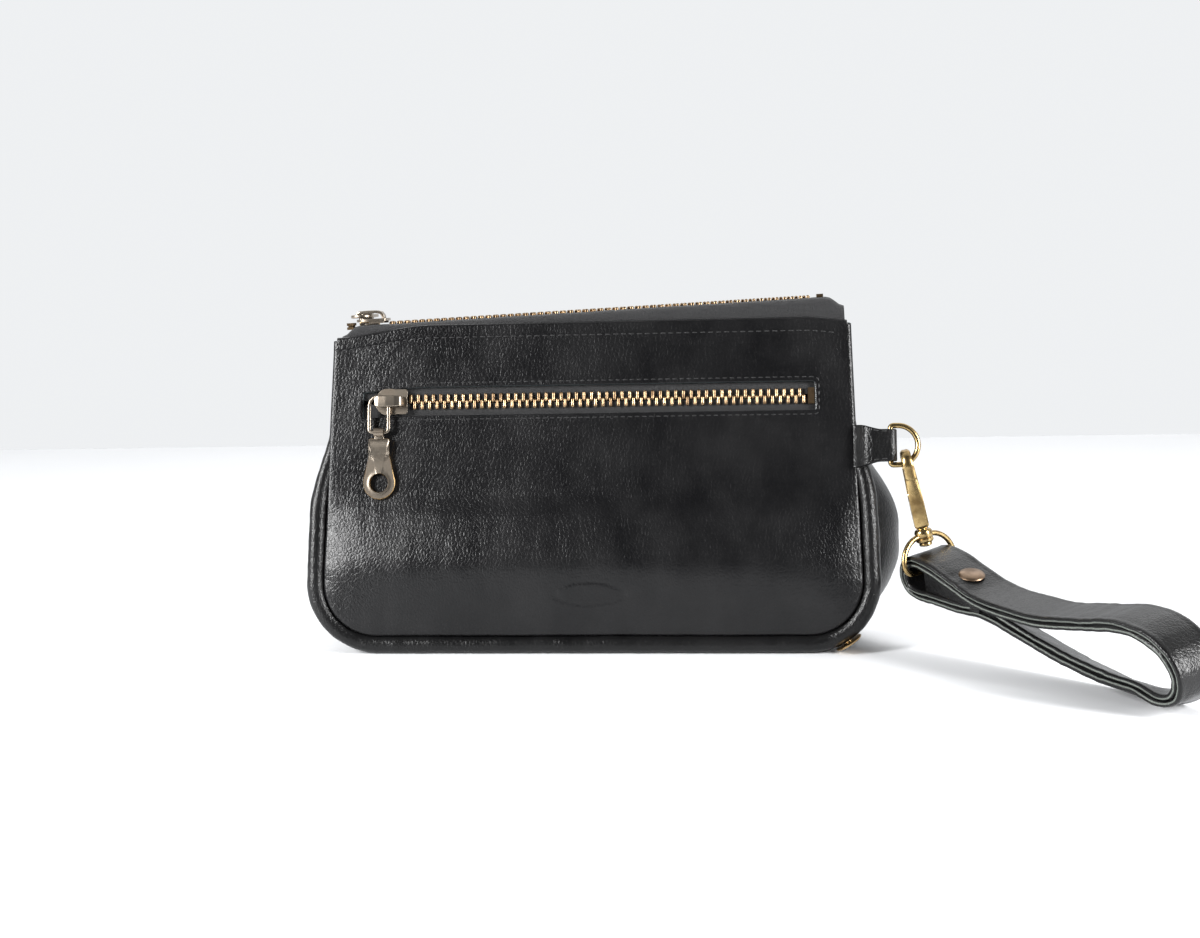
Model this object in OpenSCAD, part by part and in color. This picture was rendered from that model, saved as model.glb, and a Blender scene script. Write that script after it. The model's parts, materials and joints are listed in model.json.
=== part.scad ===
// Wristlet wallet: piped leather bag with a top zip, a front zip pocket, and a clip-on wrist strap.
// Frame: X to the wearer's right, Y from front to back, Z up. The origin is the middle of the flat base.

/* [Bag] */
// Width of the front panel along its top edge
top_w = 191; // [185:1:195]
// Width across the base, outside the piping
base_w = 210; // [204:1:216]
// Height of the leather panels
bag_h = 120.2; // [117:0.1:123]
// Depth of the bag at its base
base_d = 50; // [46:1:54]
// Depth of the bag along its top edge
top_d = 15; // [14:0.5:16]
// Angle at which the upper panels lean in, in degrees
lean = 10; // [8:1:11]
// Radius of the panels' lower corners
corner_r = 20; // [16:1:24]
// Diameter of the piping round each panel
piping_d = 6.5; // [6:0.5:7]
// Thickness of the outer leather
leather_t = 1.4; // [1.2:0.1:1.6]
// Thickness of the lining cloth
lining_t = 0.5; // [0.4:0.1:0.6]

/* [Zips] */
// Distance between two teeth of one row
pitch = 2.8; // [2.6:0.1:3]
// Width of the meshed chain
chain_w = 5.8; // [5.4:0.1:6]
// Thickness of the teeth
chain_t = 2.2; // [2:0.1:2.3]
// Thickness of the zip tape
tape_t = 0.5; // [0.4:0.1:0.6]
// Height of the main chain over the middle of the bag
main_zip_z = 123.7; // [122.5:0.1:125]
// Rise of the main zip towards the closed end, in degrees
main_zip_tilt = 2.3; // [0:0.1:2.5]
// Where the main slider stands when the zip is closed
main_slider_x = -82; // [-84:1:-80]
// Distance that the main slider travels
main_travel = 154; // [100:1:156]
// Width of the pocket's window
window_w = 166; // [160:1:168]
// Height of the pocket's window
window_h = 10.5; // [10:0.5:11]
// Distance from the panel's top edge down to the middle of the window
window_drop = 28.5; // [27:0.5:30]
// Where the pocket slider stands when the pocket is closed
pocket_slider_x = -73; // [-74:1:-72]
// Distance that the pocket slider travels
pocket_travel = 142; // [100:1:143]

/* [Zip pulls] */
// Length of a slider
slider_l = 12; // [11:0.5:13]
// Width of a slider
slider_w = 8.8; // [8.6:0.1:9]
// Outer radius of the pull tab's round end
donut_r = 6; // [5.6:0.1:6.2]
// Radius of the hole in the pull tab
donut_hole_r = 3.4; // [3:0.1:3.6]
// Distance from the pull tab's hinge to the middle of its hole
pull_reach = 18.7; // [18:0.1:19]
// Thickness of the pull tab
pull_t = 1.3; // [1.1:0.1:1.4]

/* [Side loop and snap hook] */
// Height of the leather loop at the seam
tab_h = 15.5; // [14:0.5:16]
// Distance from the bag's middle to the side ring's straight bar
side_bar_x = 108.6; // [108:0.1:110]
// Distance from the panel's top edge down to the middle of the side ring
side_ring_drop = 47.2; // [46:0.1:48]
// Radius of the side ring's bow, at the middle of the wire
side_ring_r = 7; // [6.8:0.1:7.4]
// Radius of the ring wire
wire_r = 1; // [0.9:0.05:1.05]
// Angle at which the snap hook hangs off the vertical, in degrees
hook_lean = 12.5; // [8:0.5:16]
// Length of the hook's body below the ring
hook_l = 24; // [23:0.5:26]
// Turn of the swivel ring about the hook, in degrees
swivel_turn = 56; // [40:1:65]

/* [Wrist strap] */
// Width of the strap
strap_w = 18; // [16:0.5:18]
// Thickness of the strap
strap_t = 4.3; // [3.8:0.1:4.4]
// Radius of the rivet's cap
rivet_cap_r = 4.7; // [4:0.1:5]

/* [Hidden] */

$fn = 64;

leather = "#1b1b1d";
leather_edge = "#2b2f2e";
cloth = "#2a2a2c";
tape_cloth = "#141416";
antique = "#9a8462";
nickel = "#a89f90";
brass = "#b8954a";
copper = "#b08868";

big = 400;               // size of a cutting block, larger than the bag
slack = 0.3;             // gap left between pieces that only lie near each other

// Panel outline
panel_base_w = base_w - 2 * piping_d;
corner_z = piping_d + corner_r;
fade_low = 52;           // height where the piping starts to turn in behind the panel
fade_high = 86;          // height where it is fully hidden
piping_top = 82;
side_steps = 14;
corner_steps = 10;

// Panel profile, from the side
knee_z = 60;             // below this height the panel swells outwards
foot_z = 5;
belly = 1.6;             // how far the swell stands past the base
profile_steps = 12;
piping_in = 5.5;         // how deep the piping reaches in from the panel's face
piping_out = 0.8;        // how far it stands proud of the panel's face
pocket_depth = 6.6;      // room kept behind the front panel for the pocket
lining_drop = 14;        // from the panel's top edge down to the lining, under the zip tapes

// Zip chain
tooth_t = 1.2;
tooth_over = 0.6;        // how far a tooth reaches past the middle of the chain
tape_gap = 0.65;         // half the gap between the two tapes of a zip
tape_w = 11;
main_tape_shelf = 5.2;   // half width of the main tape before it turns down
main_tape_drop = 13;
main_tape_l = 186;
stop_l = 2.4;            // length of a stop along the zip
top_stop_w = 2.4;
top_stop_y = 0.1 + top_stop_w / 2;
main_chain_start = main_slider_x + slider_l / 2 + 1;
main_chain_end = main_slider_x + main_travel + slider_l / 2 + 4;
pocket_chain_start = pocket_slider_x + slider_l / 2 + 1;
pocket_chain_end = pocket_slider_x + pocket_travel + slider_l / 2 + 4.5;
pocket_tape_l = 174;
window_x = -0.8;
window_corner_r = 1.2;
chain_depth = 1.65;      // depth of the pocket chain's middle below the panel's face

// Slider and pull
plate_gap = 1.35;        // from the chain's middle to a slider plate
plate_t = 1;
bail_t = 1.2;
bail_n = plate_gap + plate_t + 0.55;   // underside of the bail over the chain's middle
bridge_n = bail_n + bail_t + 0.2;
bridge_t = 1.1;
bridge_w = 3.6;
post_r = 0.9;
post_x = -4.3;           // the post that the bail turns about
bail_r = 4.2;
bail_drop = 1.7;         // from the post down to the middle of the bail's round end
bail_l = 7.1;
bail_corner_r = 1.5;
eye_r = 1.65;
eye_bore_r = 0.95;
neck_w = 3.6;
shoulder_w = 7.8;
shoulder_start = 2.3;
shoulder_l = 6;
main_pull_fall = 79;     // the main pull hangs down behind the rear panel, in degrees

// Side ring and hook
tab_leather_t = 1.1;
tab_root_x = 96.2;
tab_end_h = 11.4;
tab_n = piping_out + 0.1 + wire_r + 0.15 + tab_leather_t;   // ring's distance from the panel's face
ring_leg = 2.6;
hook_spot = -64;         // place on the side ring's bow where the hook hangs, in degrees
hook_top_t = 3.6;
hook_low_t = 5;
hook_head_r = 5.2;
hook_slot_r = 2.8;
hook_slot_l = 10.4;
gate_top = -2;
gate_low = -11.6;
gate_y = 2;
gate_pivot = [3.2, -13.4];
gate_pin_r = 0.7;
gate_lug_r = 1.6;
gate_lug_t = 1.6;
spring_r = 0.9;
spring_wire_r = 0.18;
spring_turns = 5;
swivel_post_r = 1.5;
collar_r = 3.1;
collar_h = 4.8;
collar_gap = 0.3;
swivel_half_w = 11.2;
swivel_h = 12;
swivel_bow_r = 9;
swivel_foot_r = 3;
swivel_head_h = 1.5;
swivel_bar_z = -(hook_l + collar_gap + collar_h / 2 + swivel_h);

// Strap outline in its own plane: x runs from the ring's bar towards the loop's end, y is up
strap_pitch = 8.95;
strap_outer = [
    [-7.5, -1.5], [-5.2, 4.2], [0.5, 6.5], [10, 5], [20, 1.5], [30, -2], [45, -3.6], [62, -3.4],
    [80, -0.6], [95, 1.8], [106, 0.8], [115, -4], [119.6, -12], [117.5, -20], [109, -24.8],
    [97, -25.8], [83, -25.1], [68, -22.8], [50, -18.6], [34, -14.2], [20, -10.8], [10, -9.8],
    [0.5, -9.5], [-5.2, -7.2]
];
strap_curve_steps = 5;
tongue_start = 7;
tongue_end = 32;
rivet_s = 20;
rivet_n = -4.4;
rivet_slope = -14;
rivet_cap_t = 1.1;
rivet_post_r = 1.6;
rivet_half_l = 6.6;

// Stud under the front right corner
stud_r = 5.2;
stud_t = 1;
stud_post_r = 1.4;
stud_angle = 33;
stud_y = -22.6;

function smooth(t) = let(u = min(1, max(0, t))) u * u * (3 - 2 * u);

function bezier(p, t) =
    pow(1 - t, 3) * p[0] + 3 * pow(1 - t, 2) * t * p[1] + 3 * (1 - t) * t * t * p[2] + pow(t, 3) * p[3];

// Half width of a panel at height z, before any offset
function half_w(z) = top_w / 2 + (panel_base_w - top_w) / 2 * (bag_h - z) / (bag_h - corner_z);

// Half width of the outline that stands g outside the panel low down and top_g outside it high up
function side_x(z, g, top_g) =
    half_w(z) + top_g + (g - top_g) * (1 - smooth((z - fade_low) / (fade_high - fade_low)));

function right_side(g, top_g) = [
    for (i = [0 : side_steps])
        let(z = bag_h + 1 + (corner_z - bag_h - 1) * i / side_steps)
        [side_x(z, g, top_g), z]
];

function right_corner(g) = [
    for (i = [1 : corner_steps])
        let(a = -90 * i / corner_steps)
        [half_w(corner_z) - corner_r + (corner_r + g) * cos(a), corner_z + (corner_r + g) * sin(a)]
];

function outline(g, top_g) =
    let(right = concat(right_side(g, top_g), right_corner(g)))
    concat(right, [for (i = [len(right) - 1 : -1 : 0]) [-right[i][0], right[i][1]]]);

// Distance from the middle plane to a panel's outer face, as [distance, height] points from the top down
swell = [
    [top_d / 2 + (bag_h - knee_z) * tan(lean), knee_z],
    [top_d / 2 + (bag_h - knee_z + 20) * tan(lean), knee_z - 20],
    [base_d / 2 + belly, 22],
    [base_d / 2, foot_z]
];
face_line = concat(
    [[top_d / 2 - 2 * tan(lean), bag_h + 2], [top_d / 2, bag_h]],
    [for (i = [0 : profile_steps]) bezier(swell, i / profile_steps)],
    [[base_d / 2, -1]]
);

// How far inside the front face the lining hangs: close in at the top, behind the pocket lower down
function lining_in(z) = 2.1 + (pocket_depth - 2.1 + slack) * smooth((bag_h - 10 - z) / 7);

// The side profile between two offsets from the face, as a solid that spans the bag
module face_band(outer, inner) {
    rotate([90, 0, 90])
        linear_extrude(big, center = true)
            polygon(concat(
                [for (p = face_line) [-(p[0] + outer), p[1]]],
                [for (i = [len(face_line) - 1 : -1 : 0]) [-(face_line[i][0] + inner), face_line[i][1]]]
            ));
}

// Everything between the two faces, each taken in by its own amount
module between_faces(front_in, rear_in) {
    rotate([90, 0, 90])
        linear_extrude(big, center = true)
            polygon(concat(
                [for (p = face_line) [-(p[0] - front_in), p[1]]],
                [for (i = [len(face_line) - 1 : -1 : 0]) [face_line[i][0] - rear_in, face_line[i][1]]]
            ));
}

module outline_block(g, top_g) {
    rotate([90, 0, 0])
        linear_extrude(big, center = true)
            polygon(outline(g, top_g));
}

module below(z) {
    translate([-big / 2, -big / 2, z - big])
        cube(big);
}

// Frame on the front panel's flat upper part: x right, y into the bag, z up the panel
module on_panel() {
    translate([0, -top_d / 2, bag_h])
        rotate([-lean, 0, 0])
            children();
}

// Frame of a zip's chain: x along the zip, y across it, z out of the bag
module on_pocket_zip() {
    on_panel()
        translate([0, chain_depth, -window_drop])
            rotate([90, 0, 0])
                children();
}

module on_main_zip() {
    translate([0, 0, main_zip_z])
        rotate([0, -main_zip_tilt, 0])
            children();
}

module rounded_rect(w, h, r) {
    square([w - 2 * r, h], center = true);
    square([w, h - 2 * r], center = true);
    for (x = [-1, 1], y = [-1, 1])
        translate([x * (w / 2 - r), y * (h / 2 - r)])
            circle(r);
}

// ---- Bag ----

module panel() {
    intersection() {
        face_band(0, -leather_t);
        outline_block(0, 0);
        below(bag_h);
    }
}

module front_panel() {
    color(leather)
        difference() {
            panel();
            on_panel()
                translate([window_x, big / 2, -window_drop])
                    rotate([90, 0, 0])
                        linear_extrude(big)
                            rounded_rect(window_w, window_h, window_corner_r);
        }
}

module rear_panel() {
    color(leather)
        mirror([0, 1, 0])
            panel();
}

module piping_ring() {
    intersection() {
        difference() {
            outline_block(piping_d, 0);
            outline_block(0, 0);
        }
        face_band(piping_out, -piping_in);
        below(piping_top);
    }
}

module front_piping() {
    color(leather)
        difference() {
            piping_ring();
            stud_hole();
        }
}

module rear_piping() {
    color(leather)
        mirror([0, 1, 0])
            piping_ring();
}

// The gusset's strip of leather, between the two panels
module gusset_strip(side_in) {
    difference() {
        intersection() {
            outline_block(piping_d, 0);
            between_faces(side_in, side_in);
        }
        outline_block(piping_d - leather_t, -leather_t);
    }
}

module gusset() {
    color(leather)
        difference() {
            union() {
                intersection() {
                    gusset_strip(piping_in);
                    below(piping_top);
                }
                intersection() {
                    gusset_strip(leather_t);
                    below(bag_h - 5);
                    translate([0, 0, piping_top + big / 2])
                        cube(big, center = true);
                }
            }
            stud_hole();
        }
}

module lining_form(inset) {
    intersection() {
        outline_block(-slack - inset, -leather_t - slack - inset);
        rotate([90, 0, 90])
            linear_extrude(big, center = true)
                polygon(concat(
                    [for (p = lining_line) [-(p[0] - lining_in(p[1]) - inset), p[1]]],
                    [for (i = [len(lining_line) - 1 : -1 : 0])
                        [lining_line[i][0] - leather_t - slack - inset, lining_line[i][1]]]
                ));
    }
}

// The face line with extra points where the lining turns in behind the pocket
lining_line = concat(
    [for (z = [bag_h + 2 : -2 : knee_z + 1]) [top_d / 2 + (bag_h - z) * tan(lean), z]],
    [for (i = [0 : profile_steps]) bezier(swell, i / profile_steps)],
    [[base_d / 2, -1]]
);

module lining() {
    color(cloth)
        difference() {
            intersection() {
                lining_form(0);
                below(bag_h - lining_drop);
            }
            lining_form(lining_t);
        }
}

module pocket_bag() {
    front = leather_t + tape_t + 0.05;
    depth = pocket_depth - front - 0.3;
    top = 10;
    bottom = -42;
    color(cloth)
        on_panel()
            translate([window_x, front, -window_drop])
                difference() {
                    translate([-pocket_tape_l / 2, 0, bottom])
                        cube([pocket_tape_l, depth, top - bottom]);
                    translate([-pocket_tape_l / 2 + lining_t, lining_t, bottom + lining_t])
                        cube([pocket_tape_l - 2 * lining_t, depth - 2 * lining_t, top - bottom - 2 * lining_t]);
                    translate([-window_w / 2, -1, -window_h / 2])
                        cube([window_w, 2, window_h]);
                }
}

module side_tab() {
    loop_r = wire_r + 0.15 + tab_leather_t;
    color(leather)
        on_panel()
            translate([side_bar_x, -tab_n, -side_ring_drop])
                difference() {
                    intersection() {
                        linear_extrude(tab_h, center = true)
                            union() {
                                circle(loop_r);
                                translate([tab_root_x - side_bar_x, -loop_r])
                                    square([side_bar_x - tab_root_x, 2 * loop_r]);
                            }
                        rotate([90, 0, 0])
                            linear_extrude(4 * loop_r, center = true)
                                polygon([
                                    [tab_root_x - side_bar_x, -tab_h / 2], [-4, -tab_end_h / 2],
                                    [loop_r, -tab_end_h / 2], [loop_r, tab_end_h / 2],
                                    [-4, tab_end_h / 2], [tab_root_x - side_bar_x, tab_h / 2]
                                ]);
                    }
                    cylinder(h = 2 * tab_h, r = wire_r + 0.15, center = true);
                }
}

module stud_frame() {
    translate([half_w(corner_z) - corner_r, stud_y, corner_z])
        rotate([0, 180 - stud_angle, 0])
            translate([0, 0, corner_r + piping_d])
                children();
}

module stud_hole() {
    stud_frame()
        cylinder(h = 6, r = stud_post_r, center = true);
}

module corner_stud() {
    color(brass)
        stud_frame() {
            translate([0, 0, 0.2])
                cylinder(h = stud_t, r = stud_r);
            translate([0, 0, -2.5])
                cylinder(h = 3, r = stud_post_r);
        }
}

// ---- Zip chains ----

// One row of teeth on the +y side of the chain, between two places along the zip
module teeth_row(start, end, shift) {
    gaps = floor((end - start - shift - tooth_t / 2) / pitch);
    for (i = [0 : gaps])
        translate([start + shift + i * pitch - tooth_t / 2, -tooth_over, -chain_t / 2])
            cube([tooth_t, chain_w / 2 + tooth_over, chain_t]);
}

// Flat tape on the +y side, notched so that each tooth grips it from outside
module flat_tape(l, w, start, end, shift) {
    difference() {
        translate([-l / 2, tape_gap, -tape_t / 2])
            cube([l, w, tape_t]);
        teeth_row(start, end, shift);
    }
}

module main_tape(shift) {
    difference() {
        union() {
            translate([-main_tape_l / 2, tape_gap, -tape_t / 2])
                cube([main_tape_l, main_tape_shelf - tape_gap, tape_t]);
            rotate([90, 0, 90])
                linear_extrude(main_tape_l, center = true)
                    polygon([
                        [main_tape_shelf - tape_t, -tape_t / 2], [main_tape_shelf, -tape_t / 2],
                        [main_tape_shelf + main_tape_drop * tan(lean) * 0.8, -main_tape_drop],
                        [main_tape_shelf + main_tape_drop * tan(lean) * 0.8 - tape_t, -main_tape_drop]
                    ]);
        }
        teeth_row(main_chain_start, main_chain_end, shift);
    }
}

module main_tape_rear() {
    color(tape_cloth)
        on_main_zip()
            main_tape(0);
}

module main_tape_front() {
    color(tape_cloth)
        on_main_zip()
            mirror([0, 1, 0])
                main_tape(pitch / 2);
}

module main_teeth_rear() {
    color(antique)
        on_main_zip()
            teeth_row(main_chain_start, main_chain_end, 0);
}

module main_teeth_front() {
    color(antique)
        on_main_zip()
            mirror([0, 1, 0])
                teeth_row(main_chain_start, main_chain_end, pitch / 2);
}

// A stop is a small bar clenched on one tape, or across both; between the tapes it is solid
module stop_bar(x, y, w) {
    difference() {
        translate([x, y, 0])
            cube([stop_l, w, chain_t + 0.3], center = true);
        for (side = [-1, 1])
            translate([x, side * (tape_gap + big / 2), 0])
                cube([big, big, tape_t], center = true);
    }
}

module main_top_stops() {
    color(antique)
        on_main_zip()
            for (side = [-1, 1])
                stop_bar(main_slider_x - slider_l / 2 - 2.2, side * top_stop_y, top_stop_w);
}

module main_bottom_stop() {
    color(antique)
        on_main_zip()
            stop_bar(main_chain_end + stop_l / 2 + 1.4, 0, chain_w);
}

module pocket_tape_upper() {
    color(tape_cloth)
        on_pocket_zip()
            translate([window_x, 0, 0])
                flat_tape(pocket_tape_l, tape_w, pocket_chain_start - window_x, pocket_chain_end - window_x, 0);
}

module pocket_tape_lower() {
    color(tape_cloth)
        on_pocket_zip()
            mirror([0, 1, 0])
                translate([window_x, 0, 0])
                    flat_tape(pocket_tape_l, tape_w,
                        pocket_chain_start - window_x, pocket_chain_end - window_x, pitch / 2);
}

module pocket_teeth_upper() {
    color(antique)
        on_pocket_zip()
            teeth_row(pocket_chain_start, pocket_chain_end, 0);
}

module pocket_teeth_lower() {
    color(antique)
        on_pocket_zip()
            mirror([0, 1, 0])
                teeth_row(pocket_chain_start, pocket_chain_end, pitch / 2);
}

module pocket_end_stop() {
    color(antique)
        on_pocket_zip()
            stop_bar(pocket_chain_end + stop_l / 2 + 0.2, 0, chain_w);
}

// ---- Sliders and pulls, drawn on a zip frame ----

// Outline of a slider's plate: round shoulders at the mouth, a waist and a square tail
module plate_shape() {
    shoulder_r = slider_w / 2;
    tail_w = slider_w - 0.6;
    intersection() {
        translate([shoulder_r - slider_l / 2, 0])
            circle(shoulder_r);
        square([slider_l, slider_w], center = true);
    }
    translate([-0.5, -slider_w / 2 + 1])
        square([3, slider_w - 2]);
    translate([slider_l / 2 - 4.6, -tail_w / 2])
        square([4.6, tail_w]);
}

module slider() {
    for (side = [-1, 1])
        translate([0, 0, side * (plate_gap + plate_t / 2)])
            linear_extrude(plate_t, center = true)
                plate_shape();
    translate([post_x, 0, plate_gap])
        cylinder(h = bridge_n - plate_gap + bridge_t / 2, r = post_r);
    translate([2.6, -bridge_w / 2, plate_gap])
        cube([1.4, bridge_w, bridge_n - plate_gap + bridge_t / 2]);
    translate([post_x - 1.2, -bridge_w / 2, bridge_n])
        cube([4 - post_x + 1.2, bridge_w, bridge_t]);
}

// The bail hangs from the slider's post towards -y
module bail_shape(r, l, inset) {
    circle(r - inset);
    translate([-r + inset, -l])
        square([2 * (r - inset), l]);
    translate([0, -l])
        rounded_rect(2 * (r - inset), 2 * bail_corner_r + 2 * (r - inset - bail_corner_r) * 0.6,
            bail_corner_r);
}

bail_foot = bail_l + bail_corner_r + (bail_r - bail_corner_r) * 0.6;
pull_hinge = [post_x, -(bail_drop + bail_foot - bail_t / 2), bail_n + bail_t / 2];

module bail() {
    translate([post_x, -bail_drop, bail_n])
        linear_extrude(bail_t)
            difference() {
                bail_shape(bail_r, bail_l, 0);
                circle(bail_r - bail_t);
                translate([-(bail_r - bail_t), -bail_foot + bail_t])
                    square([2 * (bail_r - bail_t), bail_foot - bail_t]);
            }
}

// The tab hangs from its eye towards -y; drop is how far its plate lies below the eye's middle
module pull(drop) {
    difference() {
        union() {
            rotate([0, 90, 0])
                cylinder(h = neck_w, r = eye_r, center = true);
            translate([-neck_w / 2, -shoulder_start - 0.5, -drop])
                cube([neck_w, shoulder_start + 0.5, pull_t]);
            translate([0, 0, -drop])
                linear_extrude(pull_t)
                    difference() {
                        union() {
                            translate([-shoulder_w / 2, -shoulder_start - shoulder_l])
                                square([shoulder_w, shoulder_l]);
                            polygon([
                                [-shoulder_w / 2, -shoulder_start - shoulder_l],
                                [shoulder_w / 2, -shoulder_start - shoulder_l],
                                [donut_r * cos(15), -pull_reach + donut_r * sin(15)],
                                [-donut_r * cos(15), -pull_reach + donut_r * sin(15)]
                            ]);
                            translate([0, -pull_reach])
                                circle(donut_r);
                        }
                        translate([0, -pull_reach])
                            circle(donut_hole_r);
                    }
        }
        rotate([0, 90, 0])
            cylinder(h = 2 * neck_w, r = eye_bore_r, center = true);
    }
}

pocket_pull_drop = eye_r - 0.1;

module pocket_slider() {
    color(nickel)
        on_pocket_zip()
            translate([pocket_slider_x, 0, 0])
                slider();
}

module pocket_bail() {
    color(nickel)
        on_pocket_zip()
            translate([pocket_slider_x, 0, 0])
                bail();
}

module pocket_pull() {
    color(nickel)
        on_pocket_zip()
            translate([pocket_slider_x, 0, 0] + pull_hinge)
                pull(pocket_pull_drop);
}

module main_slider() {
    color(nickel)
        on_main_zip()
            translate([main_slider_x, 0, 0])
                slider();
}

module main_bail() {
    color(nickel)
        on_main_zip()
            translate([main_slider_x, 0, 0])
                mirror([0, 1, 0])
                    bail();
}

module main_pull() {
    color(nickel)
        on_main_zip()
            translate([main_slider_x + pull_hinge[0], -pull_hinge[1], pull_hinge[2]])
                rotate([-main_pull_fall, 0, 0])
                    mirror([0, 1, 0])
                        pull(pull_t / 2);
}

// ---- Rings and snap hook ----

// Wire bent to an arc in the YZ plane, about the X axis, from angle a0 to a1 measured from +y
module wire_arc(r, a0, a1) {
    rotate([90, 0, 90])
        rotate([0, 0, a0])
            rotate_extrude(angle = a1 - a0)
                translate([r, 0])
                    circle(wire_r, $fn = 32);
}

module wire_rod(l) {
    cylinder(h = l, r = wire_r, $fn = 32, center = true);
}

module on_side_ring() {
    on_panel()
        translate([side_bar_x, -tab_n, -side_ring_drop])
            children();
}

module side_ring() {
    color(brass)
        on_side_ring() {
            wire_rod(2 * side_ring_r);
            for (side = [-1, 1]) {
                translate([0, 0, side * side_ring_r])
                    sphere(wire_r, $fn = 32);
                translate([ring_leg / 2, 0, side * side_ring_r])
                    rotate([0, 90, 0])
                        wire_rod(ring_leg);
            }
            translate([ring_leg, 0, 0])
                rotate([0, 0, -90])
                    wire_arc(side_ring_r, -90, 90);
        }
}

// Where the hook meets the ring, in the bag's frame
hook_x = side_bar_x + ring_leg + side_ring_r * cos(hook_spot);
hook_up = -side_ring_drop + side_ring_r * sin(hook_spot);
hook_point = [
    hook_x,
    -top_d / 2 - tab_n * cos(lean) + hook_up * sin(lean),
    bag_h + tab_n * sin(lean) + hook_up * cos(lean)
];

// Frame of the hook: x through its thickness, y across it, z up along it
module on_hook() {
    translate(hook_point)
        rotate([0, -hook_lean, 0])
            children();
}

module yz_plate(t) {
    rotate([90, 0, 90])
        linear_extrude(t, center = true)
            children();
}

module hook_form() {
    intersection() {
        yz_plate(2 * hook_low_t) {
            translate([0, -0.4])
                circle(hook_head_r);
            polygon([
                [-hook_head_r, -0.4], [-2.7, -hook_l], [2.7, -hook_l], [hook_head_r, -0.4]
            ]);
        }
        rotate([90, 0, 0])
            linear_extrude(4 * hook_head_r, center = true)
                polygon([
                    [-hook_low_t / 2, -hook_l], [hook_low_t / 2, -hook_l],
                    [hook_top_t / 2, hook_head_r], [-hook_top_t / 2, hook_head_r]
                ]);
    }
}

module hook_slot() {
    yz_plate(4 * hook_low_t)
        union() {
            circle(hook_slot_r);
            translate([-hook_slot_r, -hook_slot_l])
                square([2 * hook_slot_r, hook_slot_l]);
            translate([0, -hook_slot_l])
                circle(hook_slot_r);
        }
}

module gate_region(gap) {
    translate([-2 * hook_low_t, gate_y + gap, gate_low + gap])
        cube([4 * hook_low_t, 10, gate_top - gate_low - 2 * gap]);
}

module gate_lug_space(gap) {
    translate([0, gate_pivot[0], gate_pivot[1]])
        rotate([0, 90, 0])
            cylinder(h = gate_lug_t + 2 * gap, r = gate_lug_r + 2 * gap, center = true);
    translate([-gate_lug_t / 2 - gap, gate_pivot[0] - gate_lug_r - gap, gate_pivot[1]])
        cube([gate_lug_t + 2 * gap, 10, 4]);
}

module spring_hole() {
    translate([0, 0, -hook_l + 2])
        cylinder(h = 6.4, r = spring_r + spring_wire_r + 0.15);
}

module snap_hook() {
    color(brass)
        on_hook()
            difference() {
                union() {
                    hook_form();
                    translate([0, 0, -hook_l - collar_gap - collar_h - swivel_head_h - 0.2])
                        cylinder(h = collar_gap + collar_h + swivel_head_h + 1, r = swivel_post_r);
                    translate([0, 0, -hook_l - collar_gap - collar_h - swivel_head_h - 0.2])
                        cylinder(h = swivel_head_h, r = 2.3);
                }
                hook_slot();
                gate_region(0);
                gate_lug_space(0.2);
                gate_pin_space(0);
                spring_hole();
            }
}

module gate_pin_space(gap) {
    translate([0, gate_pivot[0], gate_pivot[1]])
        rotate([0, 90, 0])
            cylinder(h = 2 * hook_low_t, r = gate_pin_r + gap, center = true);
}

module gate_pin() {
    color(brass)
        on_hook()
            translate([0, gate_pivot[0], gate_pivot[1]])
                rotate([0, 90, 0])
                    cylinder(h = hook_low_t - 0.9, r = gate_pin_r, center = true);
}

module hook_gate() {
    color(brass)
        on_hook()
            difference() {
                union() {
                    difference() {
                        intersection() {
                            hook_form();
                            gate_region(0.2);
                        }
                        hook_slot();
                    }
                    intersection() {
                        hook_form();
                        yz_plate(gate_lug_t)
                            polygon([
                                [gate_pivot[0] - gate_lug_r, gate_pivot[1]],
                                [gate_pivot[0] + gate_lug_r, gate_pivot[1]],
                                [gate_pivot[0] + gate_lug_r, gate_low + 1.2],
                                [gate_y + 1, gate_low + 1.2]
                            ]);
                    }
                    intersection() {
                        hook_form();
                        translate([0, gate_pivot[0], gate_pivot[1]])
                            rotate([0, 90, 0])
                                cylinder(h = gate_lug_t, r = gate_lug_r, center = true);
                    }
                }
                gate_pin_space(0.05);
            }
}

// Points of a ring of wire round a helix, and the coil that joins them
spring_sides = 6;
spring_rings = 10 * spring_turns;
spring_l = 5.4;

module gate_spring() {
    points = [
        for (i = [0 : spring_rings])
            let(a = 360 * spring_turns * i / spring_rings)
            for (j = [0 : spring_sides - 1])
                let(b = 360 * j / spring_sides, r = spring_r + spring_wire_r * cos(b))
                [r * cos(a), r * sin(a), spring_l * i / spring_rings + spring_wire_r * sin(b)]
    ];
    walls = [
        for (i = [0 : spring_rings - 1], j = [0 : spring_sides - 1])
            let(k = (j + 1) % spring_sides, low = i * spring_sides, high = low + spring_sides)
            each [[low + j, high + j, high + k], [low + j, high + k, low + k]]
    ];
    start_cap = [[for (j = [0 : spring_sides - 1]) j]];
    end_cap = [[for (j = [spring_sides - 1 : -1 : 0]) spring_rings * spring_sides + j]];
    color(nickel)
        on_hook()
            translate([0, 0, -hook_l + 2.4])
                polyhedron(points, concat(walls, start_cap, end_cap));
}

// Frame of the swivel ring: y along its bar, z up towards the hook
module on_swivel_ring() {
    on_hook()
        translate([0, 0, swivel_bar_z])
            rotate([0, 0, -swivel_turn])
                children();
}

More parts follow.
